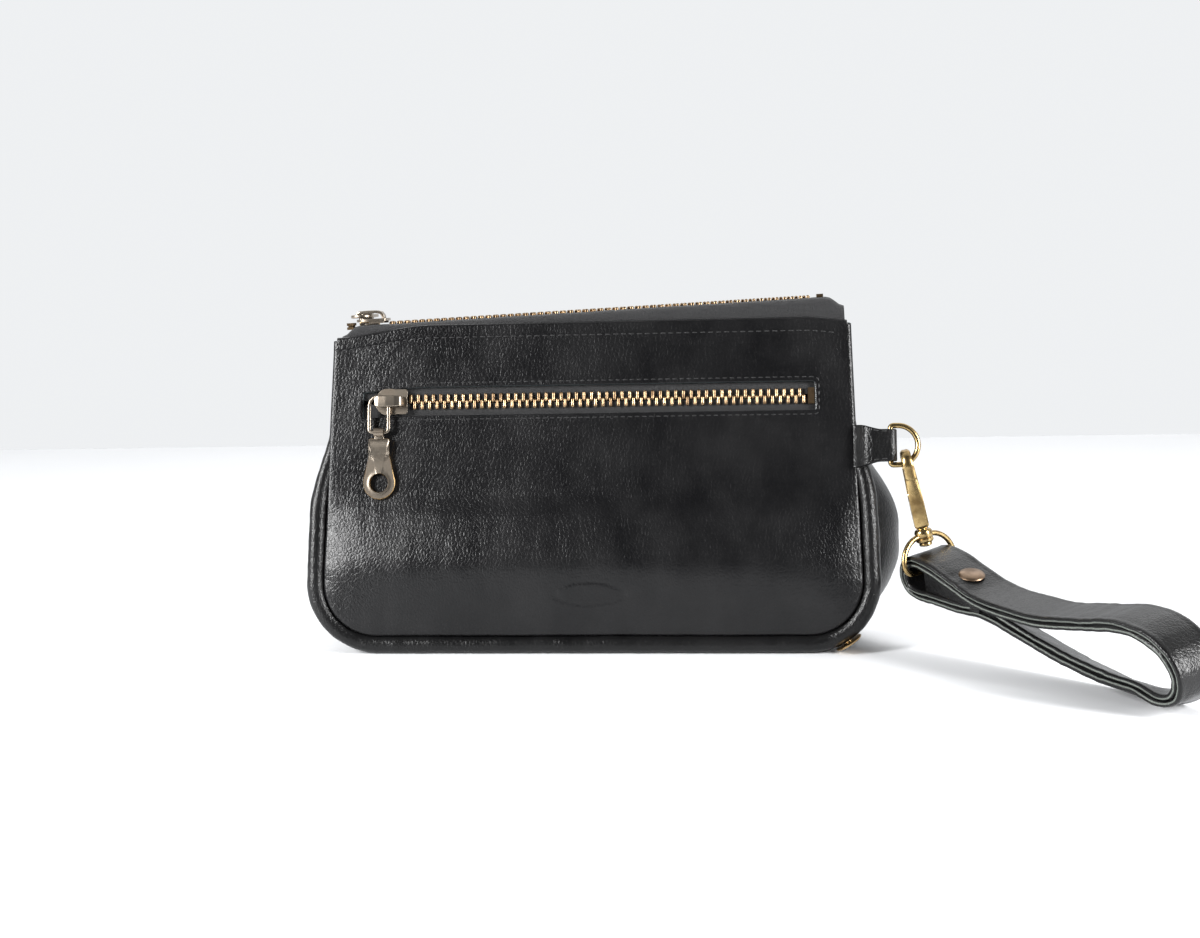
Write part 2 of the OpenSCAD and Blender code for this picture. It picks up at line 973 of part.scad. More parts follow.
module swivel_ring() {
    foot_y = swivel_half_w - swivel_foot_r;
    bow_y = swivel_half_w - swivel_bow_r;
    color(brass)
        on_swivel_ring()
            difference() {
                union() {
                    rotate([90, 0, 0])
                        wire_rod(2 * foot_y);
                    translate([0, 0, swivel_h])
                        rotate([90, 0, 0])
                            wire_rod(2 * bow_y);
                    for (side = [0, 1])
                        mirror([0, side, 0]) {
                            translate([0, foot_y, swivel_foot_r])
                                wire_arc(swivel_foot_r, -90, 0);
                            translate([0, bow_y, swivel_h - swivel_bow_r])
                                wire_arc(swivel_bow_r, 0, 90);
                        }
                    translate([0, 0, swivel_h])
                        cylinder(h = collar_h, r = collar_r, center = true);
                }
                translate([0, 0, swivel_h])
                    cylinder(h = 2 * collar_h, r = swivel_post_r + 0.06, center = true);
            }
}

// ---- Wrist strap ----

module on_strap() {
    on_swivel_ring()
        rotate([0, strap_pitch, 0])
            children();
}

// A smooth closed curve through the points of an outline
function curve_point(p0, p1, p2, p3, t) =
    0.5 * (2 * p1 + (p2 - p0) * t + (2 * p0 - 5 * p1 + 4 * p2 - p3) * t * t
        + (3 * p1 - p0 - 3 * p2 + p3) * t * t * t);

function closed_curve(p, steps) =
    let(n = len(p))
    [
        for (i = [0 : n - 1], k = [0 : steps - 1])
            curve_point(p[(i + n - 1) % n], p[i], p[(i + 1) % n], p[(i + 2) % n], k / steps)
    ];

// The curve moved inwards; it runs clockwise, so inwards is to the right of its direction
function moved_in(c, d) =
    let(n = len(c))
    [
        for (i = [0 : n - 1])
            let(along = c[(i + 1) % n] - c[(i + n - 1) % n], u = along / norm(along))
            c[i] + d * [u[1], -u[0]]
    ];

strap_curve = closed_curve(strap_outer, strap_curve_steps);
strap_inner_curve = moved_in(strap_curve, strap_t);

// Extrudes an outline in the strap's plane across the strap's width
module strap_band(w) {
    rotate([90, 0, 0])
        linear_extrude(w, center = true)
            children();
}

module rivet_frame() {
    translate([rivet_s, 0, rivet_n])
        rotate([0, -rivet_slope, 0])
            children();
}

module rivet_space() {
    rivet_frame() {
        cylinder(h = 40, r = rivet_post_r, center = true);
        for (side = [-1, 1])
            translate([0, 0, side * (rivet_half_l - rivet_cap_t + 5)])
                cylinder(h = 10, r = rivet_cap_r, center = true);
    }
}

module wrist_strap() {
    color(leather)
        on_strap()
            difference() {
                strap_band(strap_w)
                    difference() {
                        polygon(strap_curve);
                        polygon(strap_inner_curve);
                    }
                rivet_space();
            }
}

module strap_tongue() {
    color(leather_edge)
        on_strap()
            difference() {
                strap_band(strap_w)
                    intersection() {
                        polygon(strap_inner_curve);
                        translate([tongue_start, -big / 2])
                            square([tongue_end - tongue_start, big]);
                    }
                rivet_space();
            }
}

module strap_rivet() {
    color(copper)
        on_strap()
            rivet_frame() {
                cylinder(h = 2 * (rivet_half_l - rivet_cap_t) + 0.2, r = rivet_post_r, center = true);
                for (side = [-1, 1])
                    translate([0, 0, side * (rivet_half_l - rivet_cap_t / 2)])
                        cylinder(h = rivet_cap_t, r = rivet_cap_r, center = true);
            }
}

front_panel();
rear_panel();
gusset();
front_piping();
rear_piping();
lining();
pocket_bag();
main_tape_front();
main_tape_rear();
main_teeth_front();
main_teeth_rear();
main_top_stops();
main_bottom_stop();
pocket_tape_upper();
pocket_tape_lower();
pocket_teeth_upper();
pocket_teeth_lower();
pocket_end_stop();
side_tab();
corner_stud();
main_slider();
main_bail();
main_pull();
pocket_slider();
pocket_bail();
pocket_pull();
side_ring();
snap_hook();
gate_pin();
gate_spring();
hook_gate();
swivel_ring();
wrist_strap();
strap_tongue();
strap_rivet();
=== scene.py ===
"""A black leather wristlet wallet with a top zip, a front zip pocket, a side ring, a snap hook and a wrist strap."""

import json
from math import atan2, ceil, cos, exp, hypot, pi, radians, sin, tan

import bmesh
import bpy
from mathutils import Matrix, Vector, noise


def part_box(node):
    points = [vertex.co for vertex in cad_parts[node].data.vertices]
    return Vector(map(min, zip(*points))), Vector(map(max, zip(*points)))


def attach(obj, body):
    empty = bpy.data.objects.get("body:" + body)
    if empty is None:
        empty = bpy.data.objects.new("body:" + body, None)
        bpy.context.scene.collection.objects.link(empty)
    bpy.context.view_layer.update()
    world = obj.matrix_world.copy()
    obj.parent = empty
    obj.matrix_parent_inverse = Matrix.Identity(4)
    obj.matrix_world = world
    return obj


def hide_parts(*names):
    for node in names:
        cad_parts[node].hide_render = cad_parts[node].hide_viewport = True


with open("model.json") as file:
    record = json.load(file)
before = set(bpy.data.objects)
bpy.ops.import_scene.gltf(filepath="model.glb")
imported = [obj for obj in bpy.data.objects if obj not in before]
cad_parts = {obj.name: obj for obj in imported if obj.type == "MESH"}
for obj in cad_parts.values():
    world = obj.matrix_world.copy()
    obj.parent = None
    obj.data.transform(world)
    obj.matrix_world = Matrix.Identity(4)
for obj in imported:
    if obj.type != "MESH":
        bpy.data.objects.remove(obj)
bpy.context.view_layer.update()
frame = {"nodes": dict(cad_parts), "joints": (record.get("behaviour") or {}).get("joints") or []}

# Shapes are worked out in millimetres and turned to metres when a mesh is made.
MM = 0.001
UP = Vector((0, 0, 1))
JOINTS = {joint["name"]: joint for joint in frame["joints"]}


def node_box(node):
    low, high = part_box(node)
    return low / MM, high / MM


def joint_place(name):
    return Vector(JOINTS[name]["pos_m"]) / MM


def joint_axis(name):
    return Vector(JOINTS[name]["axis"]).normalized()


def frame_matrix(origin, x_axis, z_axis):
    """A frame with this origin and x axis, and a z axis as near z_axis as a right angle allows."""
    x = x_axis.normalized()
    y = z_axis.cross(x).normalized()
    z = x.cross(y)
    return Matrix.Translation(origin) @ Matrix((x, y, z)).transposed().to_4x4()


# ---- Sizes that the CAD part has ----

panel_low, panel_high = node_box("front_panel")
TOP_Z = panel_high.z
PANEL_FOOT_Z = panel_low.z
PIPING_D = PANEL_FOOT_Z
LEAN = atan2(joint_axis("pocket_bail_swing").z, -joint_axis("pocket_bail_swing").y)
CORNER_R = 20
CORNER_Z = PIPING_D + CORNER_R
TOP_HALF_W = 95.5
BASE_HALF_W = panel_high.x
TOP_HALF_D = 7.5
BASE_HALF_D = 25
KNEE_Z = 60
FOOT_Z = 5
BELLY = 1.6
FADE_LOW, FADE_HIGH = 52, 86

WINDOW_X, WINDOW_W, WINDOW_H, WINDOW_DROP = -0.8, 166, 10.5, 28.5
PITCH, CHAIN_W, TOOTH_T, TOOTH_OVER = 2.8, 5.8, 1.2, 0.6
TAPE_T = 0.5
PLATE_GAP, PLATE_T, POST_X = 1.35, 1.0, -4.3
BAIL_N = 2.9
SLIDER_L, SLIDER_W = 12, 10.2
WIRE_R = 1.0
STRAP_W, STRAP_T, STRAP_PITCH = 18, 4.3, radians(8.95)

pocket_out = joint_axis("pocket_bail_swing")
pocket_right = joint_axis("pocket_zip")
POCKET_SLIDER = frame_matrix(
    joint_place("pocket_bail_swing") - POST_X * pocket_right - BAIL_N * pocket_out, pocket_right, pocket_out
)
main_out = joint_axis("main_bail_swing")
main_along = joint_axis("main_zip")
MAIN_SLIDER = frame_matrix(
    joint_place("main_bail_swing") - POST_X * main_along - BAIL_N * main_out, main_along, main_out
)
POCKET_ZIP = Matrix.Translation(-POCKET_SLIDER.translation.x * pocket_right) @ POCKET_SLIDER
MAIN_ZIP = Matrix.Translation(-MAIN_SLIDER.translation.x / main_along.x * main_along) @ MAIN_SLIDER
HOOK = frame_matrix(joint_place("hook_swing"), joint_axis("hook_swing"), joint_axis("hook_swivel"))
SIDE_RING = frame_matrix(joint_place("side_ring_swing"), Vector((1, 0, 0)), joint_axis("side_ring_swing"))
bar = joint_axis("strap_swing")
hook_up = joint_axis("hook_swivel")
SWIVEL = frame_matrix(joint_place("strap_swing"), bar.cross(hook_up), hook_up)
STRAP = SWIVEL @ Matrix.Rotation(STRAP_PITCH, 4, "Y")


# ---- Small functions ----


def smooth(t):
    t = min(1.0, max(0.0, t))
    return t * t * (3 - 2 * t)


def mix(a, b, t):
    return a + (b - a) * t


def bump_at(d, width):
    """A soft hump of height 1 where d is 0."""
    return exp(-((d / width) ** 2))


def wave(x, y, seed, size_x, size_y):
    """Smooth noise from -1 to 1, with lumps about size_x by size_y."""
    return noise.noise(Vector((x / size_x, y / size_y, seed)))


def arc(cx, cy, r, start, end, steps):
    """Points on an arc in a plane, by angles in degrees."""
    return [
        (cx + r * cos(radians(mix(start, end, i / steps))), cy + r * sin(radians(mix(start, end, i / steps))))
        for i in range(steps + 1)
    ]


def closed_curve(points, steps):
    """A smooth closed curve through points, with steps parts to each stretch."""
    n = len(points)
    points = [Vector(p) for p in points]
    out = []
    for i in range(n):
        p0, p1, p2, p3 = (points[(i + k) % n] for k in (-1, 0, 1, 2))
        for k in range(steps):
            t = k / steps
            out.append(
                0.5 * (2 * p1 + (p2 - p0) * t + (2 * p0 - 5 * p1 + 4 * p2 - p3) * t**2
                       + (3 * p1 - p0 - 3 * p2 + p3) * t**3)
            )
    return out


def even_path(path, step, closed=False):
    """The same path with points an even distance apart."""
    points = [Vector(p) for p in path]
    if closed:
        points.append(points[0])
    lengths = [0.0]
    for a, b in zip(points, points[1:]):
        lengths.append(lengths[-1] + (b - a).length)
    count = max(2, ceil(lengths[-1] / step))
    out, k = [], 0
    for i in range(count if closed else count + 1):
        at = lengths[-1] * i / count
        while k < len(points) - 2 and lengths[k + 1] < at:
            k += 1
        part = (at - lengths[k]) / max(1e-9, lengths[k + 1] - lengths[k])
        out.append(points[k].lerp(points[k + 1], part))
    return out


# ---- Shells: a shell is (points, faces, material index of each face) ----


def lattice(rows, round_rows=False, round_columns=False, paint=None, leave_out=None):
    """A skin over rows of points. paint(row, column) gives a face's material, leave_out(row, column) a hole."""
    n_rows, n_columns = len(rows), len(rows[0])
    points = [Vector(p) for row in rows for p in row]
    faces, paints = [], []
    for r in range(n_rows if round_rows else n_rows - 1):
        for c in range(n_columns if round_columns else n_columns - 1):
            if leave_out and leave_out(r, c):
                continue
            r2, c2 = (r + 1) % n_rows, (c + 1) % n_columns
            faces.append((r * n_columns + c, r * n_columns + c2, r2 * n_columns + c2, r2 * n_columns + c))
            paints.append(paint(r, c) if paint else 0)
    return points, faces, paints


def solid_of_rings(rings, paint=None):
    """A closed solid through closed rings of points, with a fan over each end."""
    points, faces, paints = lattice(rings, round_columns=True, paint=paint)
    n = len(rings[0])
    for start, ring, turn in ((0, rings[0], -1), (len(points) - n, rings[-1], 1)):
        middle = sum((Vector(p) for p in ring), Vector((0, 0, 0))) / n
        points.append(middle)
        for i in range(n):
            a, b = start + i, start + (i + 1) % n
            faces.append((len(points) - 1, a, b) if turn > 0 else (len(points) - 1, b, a))
            paints.append(0)
    return points, faces, paints


def prism(outline, low, high):
    """An outline in the XY plane, drawn up from low to high."""
    n = len(outline)
    points = [Vector((x, y, z)) for z in (low, high) for x, y in outline]
    faces = [tuple(range(n - 1, -1, -1)), tuple(range(n, 2 * n))]
    faces += [(i, (i + 1) % n, n + (i + 1) % n, n + i) for i in range(n)]
    return points, faces, [0] * len(faces)


def rounded_rectangle(w, h, r, steps=5):
    return (
        arc(w / 2 - r, h / 2 - r, r, 0, 90, steps) + arc(r - w / 2, h / 2 - r, r, 90, 180, steps)
        + arc(r - w / 2, r - h / 2, r, 180, 270, steps) + arc(w / 2 - r, r - h / 2, r, 270, 360, steps)
    )


def path_frames(path, closed, up):
    """At each point of a path: the point, the direction along it, and two directions across it."""
    n = len(path)
    for i, p in enumerate(path):
        a = path[(i - 1) % n] if closed or i else path[0]
        b = path[(i + 1) % n] if closed or i < n - 1 else path[-1]
        along = (b - a).normalized()
        side = along.cross(up(i) if callable(up) else up).normalized()
        yield i, p, side, side.cross(along)


def sweep(path, section, closed=False, up=UP, paint=None):
    """A section drawn along a path. section(i) gives points (across, out); out lies towards up."""
    path = [Vector(p) for p in path]
    rings = [
        [p + side * x + out * y for x, y in section(i)] for i, p, side, out in path_frames(path, closed, up)
    ]
    if closed:
        return lattice(rings, round_rows=True, round_columns=True, paint=paint)
    return solid_of_rings(rings, paint)


def round_section(r, steps=14):
    ring = [(r * cos(2 * pi * k / steps), r * sin(2 * pi * k / steps)) for k in range(steps)]
    return lambda i: ring


def wire(path, r=WIRE_R, closed=False, up=UP, steps=18):
    return sweep(path, round_section(r, steps), closed, up)


def turned(profile, steps=32):
    """A solid of revolution about z through (radius, z) points, open at the axis only where radius is small."""
    rings = [
        [Vector((r * cos(2 * pi * k / steps), r * sin(2 * pi * k / steps), z)) for k in range(steps)]
        for r, z in profile
    ]
    return solid_of_rings(rings)


INNER_STEPS = 7


def ring_plate(outer, inner, thickness, chamfer=0.25, lift=None, edge_paint=0):
    """A plate in the XY plane between two outlines, with eased edges. thickness(x, y) gives (low, high)."""
    cx = sum(p[0] for p in inner) / len(inner)
    cy = sum(p[1] for p in inner) / len(inner)
    outer_path = even_path([Vector((x, y, 0)) for x, y in outer], 0.4, closed=True)
    dense = even_path([Vector((x, y, 0)) for x, y in inner], 0.05, closed=True)
    angles = [(atan2(p.y - cy, p.x - cx), p) for p in dense]
    columns = []
    for p in outer_path:
        angle = atan2(p.y - cy, p.x - cx)
        q = min(angles, key=lambda item: abs((item[0] - angle + pi) % (2 * pi) - pi))[1]
        width = (p - q).length
        step = (p - q) / width
        across = [mix(chamfer, width - chamfer, k / INNER_STEPS) for k in range(INNER_STEPS + 1)]
        around = [(0, 0, chamfer)] + [(at, 0, 0) for at in across] + [(width, 0, chamfer)]
        around += [(width, 1, chamfer)] + [(at, 1, 0) for at in reversed(across)] + [(0, 1, chamfer)]
        column = []
        for at, high_share, sink in around:
            spot = q + step * at
            low, high = thickness(spot.x, spot.y)
            spot.z = (high - sink) if high_share else (low + sink)
            if lift:
                spot.z += lift(spot.x, spot.y)
            column.append(spot)
        columns.append(column)
    last = 2 * INNER_STEPS + 5
    edge_columns = (0, INNER_STEPS + 1, INNER_STEPS + 2, INNER_STEPS + 3, last - 1, last)
    return lattice(
        columns, round_rows=True, round_columns=True,
        paint=lambda r, c: edge_paint if c in edge_columns else 0,
    )


def moved(shell, matrix):
    points, faces, paints = shell
    return [matrix @ p for p in points], faces, paints


def flipped(shell):
    points, faces, paints = shell
    return points, [tuple(reversed(f)) for f in faces], paints


def piece(name, shells, body, materials, stands_for=(), bevel=0.0, sharp=40, bevel_steps=2):
    """One object made of shells, which rides on a body and may stand for CAD nodes."""
    points, faces, paints = [], [], []
    for shell in shells:
        base = len(points)
        points += shell[0]
        faces += [tuple(base + k for k in face) for face in shell[1]]
        paints += shell[2]
    mesh = bpy.data.meshes.new(name)
    mesh.from_pydata([p * MM for p in points], [], faces)
    mesh.polygons.foreach_set("use_smooth", [True] * len(faces))
    mesh.polygons.foreach_set("material_index", paints)
    for material in materials:
        mesh.materials.append(material)
    mesh.validate()
    mesh.set_sharp_from_angle(angle=radians(sharp))
    obj = bpy.data.objects.new(name, mesh)
    bpy.context.scene.collection.objects.link(obj)
    if bevel:
        modifier = obj.modifiers.new("edges", "BEVEL")
        modifier.width = bevel * MM
        modifier.segments = bevel_steps
        modifier.limit_method = "ANGLE"
        modifier.angle_limit = radians(35)
        modifier.use_clamp_overlap = True
        modifier.harden_normals = True
    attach(obj, body)
    if stands_for:
        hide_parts(*stands_for)
    return obj


def thicken(obj, thickness, rim_paint=0):
    """Gives a skin its thickness, inwards, with its cut edges in another material."""
    modifier = obj.modifiers.new("thickness", "SOLIDIFY")
    modifier.thickness = thickness * MM
    modifier.offset = -1
    modifier.use_even_offset = False
    modifier.material_offset_rim = rim_paint
    return obj


# ---- Materials: each is procedural, and follows the piece that it is on ----


class Shader:
    """A material's node tree, with short ways to add textures that are measured in millimetres."""

    def __init__(self, name):
        self.material = bpy.data.materials.new(name)
        self.material.use_nodes = True
        self.tree = self.material.node_tree
        self.bsdf = self.tree.nodes["Principled BSDF"]
        self.place = self.add("ShaderNodeTexCoord").outputs["Object"]

    def add(self, kind, **values):
        node = self.tree.nodes.new(kind)
        for key, value in values.items():
            setattr(node, key, value)
        return node

    def link(self, source, target):
        self.tree.links.new(source, target)

    def stretched(self, x, y, z):
        """Object coordinates in units of x, y and z millimetres."""
        mapping = self.add("ShaderNodeMapping")
        mapping.inputs["Scale"].default_value = (1 / (x * MM), 1 / (y * MM), 1 / (z * MM))
        self.link(self.place, mapping.inputs["Vector"])
        return mapping.outputs["Vector"]

    def grain(self, x, y=None, z=None, detail=4, rough=0.55):
        node = self.add("ShaderNodeTexNoise")
        node.inputs["Scale"].default_value = 1
        node.inputs["Detail"].default_value = detail
        node.inputs["Roughness"].default_value = rough
        self.link(self.stretched(x, y or x, z or x), node.inputs["Vector"])
        return node.outputs["Fac"]

    def cells(self, x, y=None, z=None, feature="F1"):
        node = self.add("ShaderNodeTexVoronoi", feature=feature)
        node.inputs["Scale"].default_value = 1
        self.link(self.stretched(x, y or x, z or x), node.inputs["Vector"])
        return node.outputs["Distance"]

    def weave(self, size, axis):
        node = self.add("ShaderNodeTexWave", wave_type="BANDS", bands_direction=axis)
        node.inputs["Scale"].default_value = 1 / (size * MM) / 3.3
        node.inputs["Distortion"].default_value = 0.6
        self.link(self.place, node.inputs["Vector"])
        return node.outputs["Fac"]

    def ranged(self, value, low, high, start=0.3, end=0.7):
        node = self.add("ShaderNodeMapRange")
        self.link(value, node.inputs["Value"])
        for key, number in (("From Min", start), ("From Max", end), ("To Min", low), ("To Max", high)):
            node.inputs[key].default_value = number
        return node.outputs["Result"]

    def sum(self, a, b, share=1.0):
        node = self.add("ShaderNodeMath", operation="MULTIPLY_ADD")
        self.link(b, node.inputs[0])
        node.inputs[1].default_value = share
        self.link(a, node.inputs[2])
        return node.outputs[0]

    def colours(self, value, stops):
        node = self.add("ShaderNodeValToRGB")
        ramp = node.color_ramp
        while len(ramp.elements) < len(stops):
            ramp.elements.new(0.5)
        for element, (at, colour) in zip(ramp.elements, stops):
            element.position = at
            element.color = (*colour, 1)
        self.link(value, node.inputs["Fac"])
        self.link(node.outputs["Color"], self.bsdf.inputs["Base Color"])

    def roughness(self, value):
        self.link(value, self.bsdf.inputs["Roughness"])

    def bumps(self, height, depth):
        """Bump with hills of about depth millimetres."""
        node = self.add("ShaderNodeBump")
        node.inputs["Distance"].default_value = depth * MM
        self.link(height, node.inputs["Height"])
        self.link(node.outputs["Normal"], self.bsdf.inputs["Normal"])

    def set(self, **values):
        for key, value in values.items():
            self.bsdf.inputs[key.replace("_", " ")].default_value = value
        return self


def leather_material(name, dark, light, crease, rough=(0.29, 0.36), depth=0.09):
    """Smooth black hide: fine creases that run along z, small pores and a satin coat."""
    s = Shader(name)
    creases = s.grain(*crease, detail=7, rough=0.64)
    pebbles = s.cells(1.3, 1.3, 1.6, feature="DISTANCE_TO_EDGE")
    pores = s.cells(0.5, 0.5, 0.6)
    broad = s.grain(16, 16, 22, detail=2)
    s.colours(broad, [(0.3, dark), (0.7, light)])
    s.roughness(s.ranged(s.sum(broad, creases, 0.5), *rough, 0.55, 0.95))
    folds = s.sum(creases, s.ranged(pebbles, 0, 1, 0, 0.22), 0.6)
    s.bumps(s.sum(folds, pores, 0.2), depth)
    return s.set(Specular_IOR_Level=0.27, Coat_Weight=0.05, Coat_Roughness=0.2).material


def metal_material(name, dark, light, rough=(0.24, 0.42), depth=0.008):
    """Plated metal with a worn, uneven patina and fine scratches."""
    s = Shader(name)
    patina = s.grain(6.5, detail=5, rough=0.6)
    scratches = s.grain(0.12, 2.4, 0.12, detail=2)
    s.colours(patina, [(0.32, dark), (0.62, light)])
    s.roughness(s.ranged(patina, rough[1], rough[0]))
    s.bumps(s.sum(patina, scratches, 0.5), depth)
    return s.set(Metallic=1.0).material


def cloth_material(name, colour, size=0.5, depth=0.12):
    """Woven cloth or tape, with threads size millimetres apart."""
    s = Shader(name)
    threads = s.sum(s.weave(size, "X"), s.weave(size, "Z"))
    fuzz = s.grain(0.4)
    s.colours(fuzz, [(0.3, tuple(0.7 * c for c in colour)), (0.7, tuple(1.3 * c for c in colour))])
    s.roughness(s.ranged(fuzz, 0.75, 0.95))
    s.bumps(s.sum(threads, fuzz, 0.6), depth)
    return s.set(Sheen_Weight=0.15, Sheen_Roughness=0.5).material


def edge_material(name, dark, light, rough=(0.45, 0.6)):
    """The painted cut edge of a strip of leather."""
    s = Shader(name)
    fibres = s.grain(0.5, 0.5, 0.5, detail=4)
    s.colours(fibres, [(0.3, dark), (0.7, light)])
    s.roughness(s.ranged(fibres, *rough))
    s.bumps(fibres, 0.08)
    return s.material


def thread_material(name, colour):
    """Twisted sewing thread."""
    s = Shader(name)
    twist = s.grain(0.35, 0.35, 0.35, detail=2)
    s.colours(twist, [(0.3, tuple(0.6 * c for c in colour)), (0.7, colour)])
    s.roughness(s.ranged(twist, 0.5, 0.7))
    s.bumps(twist, 0.08)
    return s.material


bag_leather = leather_material(
    "bag_leather", (0.0028, 0.0028, 0.0032), (0.0065, 0.0064, 0.0068), (2.1, 2.1, 2.3)
)
piping_leather = leather_material(
    "piping_leather", (0.0028, 0.0028, 0.003), (0.006, 0.006, 0.0062), (2.6, 2.6, 2.2)
)
strap_leather = leather_material(
    "strap_leather", (0.003, 0.003, 0.0031), (0.0075, 0.0074, 0.0075), (3.4, 2.6, 2.6)
)
edge_paint = edge_material("edge_paint", (0.01, 0.022, 0.024), (0.03, 0.055, 0.058))
strap_edge = edge_material("strap_edge", (0.05, 0.058, 0.052), (0.16, 0.175, 0.155))
lining_cloth = cloth_material("lining_cloth", (0.03, 0.03, 0.034))
tape_cloth = cloth_material("tape_cloth", (0.011, 0.011, 0.012), size=0.42)
thread = thread_material("thread", (0.012, 0.012, 0.0125))
teeth_brass = metal_material("teeth_brass", (0.1, 0.062, 0.034), (0.36, 0.25, 0.145), rough=(0.24, 0.42))
pull_nickel = metal_material("pull_nickel", (0.2, 0.165, 0.13), (0.38, 0.33, 0.27), rough=(0.26, 0.4))
pull_edge = metal_material("pull_edge", (0.2, 0.12, 0.05), (0.48, 0.33, 0.16))
ring_brass = metal_material("ring_brass", (0.2, 0.13, 0.055), (0.48, 0.35, 0.16), rough=(0.2, 0.36))
rivet_copper = metal_material("rivet_copper", (0.12, 0.08, 0.052), (0.25, 0.175, 0.12), rough=(0.3, 0.45))
spring_steel = metal_material("spring_steel", (0.35, 0.34, 0.33), (0.55, 0.54, 0.52))


# ---- The bag's shape ----

SWELL = [
    (TOP_HALF_D + (TOP_Z - KNEE_Z) * tan(LEAN), KNEE_Z),
    (TOP_HALF_D + (TOP_Z - KNEE_Z + 20) * tan(LEAN), KNEE_Z - 20),
    (BASE_HALF_D + BELLY, 22),
    (BASE_HALF_D, FOOT_Z),
]


def bezier(points, t):
    weights = ((1 - t) ** 3, 3 * (1 - t) ** 2 * t, 3 * (1 - t) * t * t, t**3)
    return tuple(sum(w * p[k] for w, p in zip(weights, points)) for k in (0, 1))


BELLY_LINE = [bezier(SWELL, i / 48) for i in range(49)]


def face_depth(z):
    """How far a panel's face stands from the middle plane at height z."""
    if z >= KNEE_Z:
        return TOP_HALF_D + (TOP_Z - z) * tan(LEAN)
    for (d0, z0), (d1, z1) in zip(BELLY_LINE, BELLY_LINE[1:]):
        if z >= z1:
            return mix(d1, d0, (z - z1) / (z0 - z1))
    return BASE_HALF_D


def half_width(z):
    """Half the panel's width at height z, where its sides are straight."""
    return TOP_HALF_W + (BASE_HALF_W - TOP_HALF_W) * (TOP_Z - z) / (TOP_Z - CORNER_Z)


def outline_at(z_or_angle, out, top_out, corner=False):
    """A point on the right half of the outline that stands out of the panel, as (x, z, normal)."""
    if corner:
        a = radians(z_or_angle)
        centre = half_width(CORNER_Z) - CORNER_R
        r = CORNER_R + out
        return centre + r * cos(a), CORNER_Z - r * sin(a), Vector((cos(a), 0, -sin(a)))
    fade = 1 - smooth((z_or_angle - FADE_LOW) / (FADE_HIGH - FADE_LOW))
    return half_width(z_or_angle) + mix(top_out, out, fade), z_or_angle, Vector((1, 0, -0.03))


def outline_loop(out, top_out, top, step=2.0):
    """The outline from the top right, down, along the base and up to the top left, as (x, z, normal)."""
    side_count = ceil((top - CORNER_Z) / step)
    corner_count = ceil(CORNER_R * pi / 2 / step)
    right = [outline_at(mix(top, CORNER_Z, i / side_count), out, top_out) for i in range(side_count)]
    right += [outline_at(90 * i / corner_count, out, top_out, corner=True) for i in range(corner_count + 1)]
    x_end, z_end = right[-1][0], right[-1][1]
    base_count = ceil(2 * x_end / step)
    base = [(mix(x_end, -x_end, i / base_count), z_end, Vector((0, 0, -1))) for i in range(1, base_count)]
    left = [(-x, z, Vector((-n.x, n.y, n.z))) for x, z, n in reversed(right)]
    return right + base + left


SKIN_T = 1.0
BELLY_FOOT, BELLY_MIDDLE, BELLY_TOP = 30, 32, 36   # the rise's length, its top, and the fall's length
BELLY_ROUND, BELLY_FULL = 3.2, 3.0
BULGE_STRAP_SIDE, BULGE_SLIDER_SIDE = 9.0, 2.5
GUSSET_FOLD_Z, GUSSET_FOLD_IN = 106, 3.0
GUSSET_CELLS = 24
PIPING_STEP, PIPING_TOP_R, PIPING_POINTS = 0.9, 2.0, 18
CORNER_ROWS = 40
WINDOW_Z = TOP_Z - WINDOW_DROP * cos(LEAN)
WINDOW_HALF_H = WINDOW_H / 2 * cos(LEAN)
MOTIF_Z, MOTIF_HALF_W, MOTIF_HALF_H = 23, 12.5, 4.2   # a plain oval pressed into the leather
HEM = 4.6
HEM_FOLD_R = 1.2
EDGE_R = 1.5
STITCH = 2.9
WINDOW_STITCH = 2.6
HEM_SEAM = HEM + 0.2


def window_distance(x, z):
    """How far a point on the front panel lies outside the window."""
    dx = abs(x - WINDOW_X) - WINDOW_W / 2
    dz = abs(z - WINDOW_Z) - WINDOW_HALF_H
    return hypot(max(dx, 0), max(dz, 0))


def droop(x, z):
    """The top edge sags at its ends, more at the slider's end."""
    return (4.2 * smooth((-x - 58) / 38) + 1.4 * smooth((x - 78) / 18)) * smooth((z - 74) / 43)


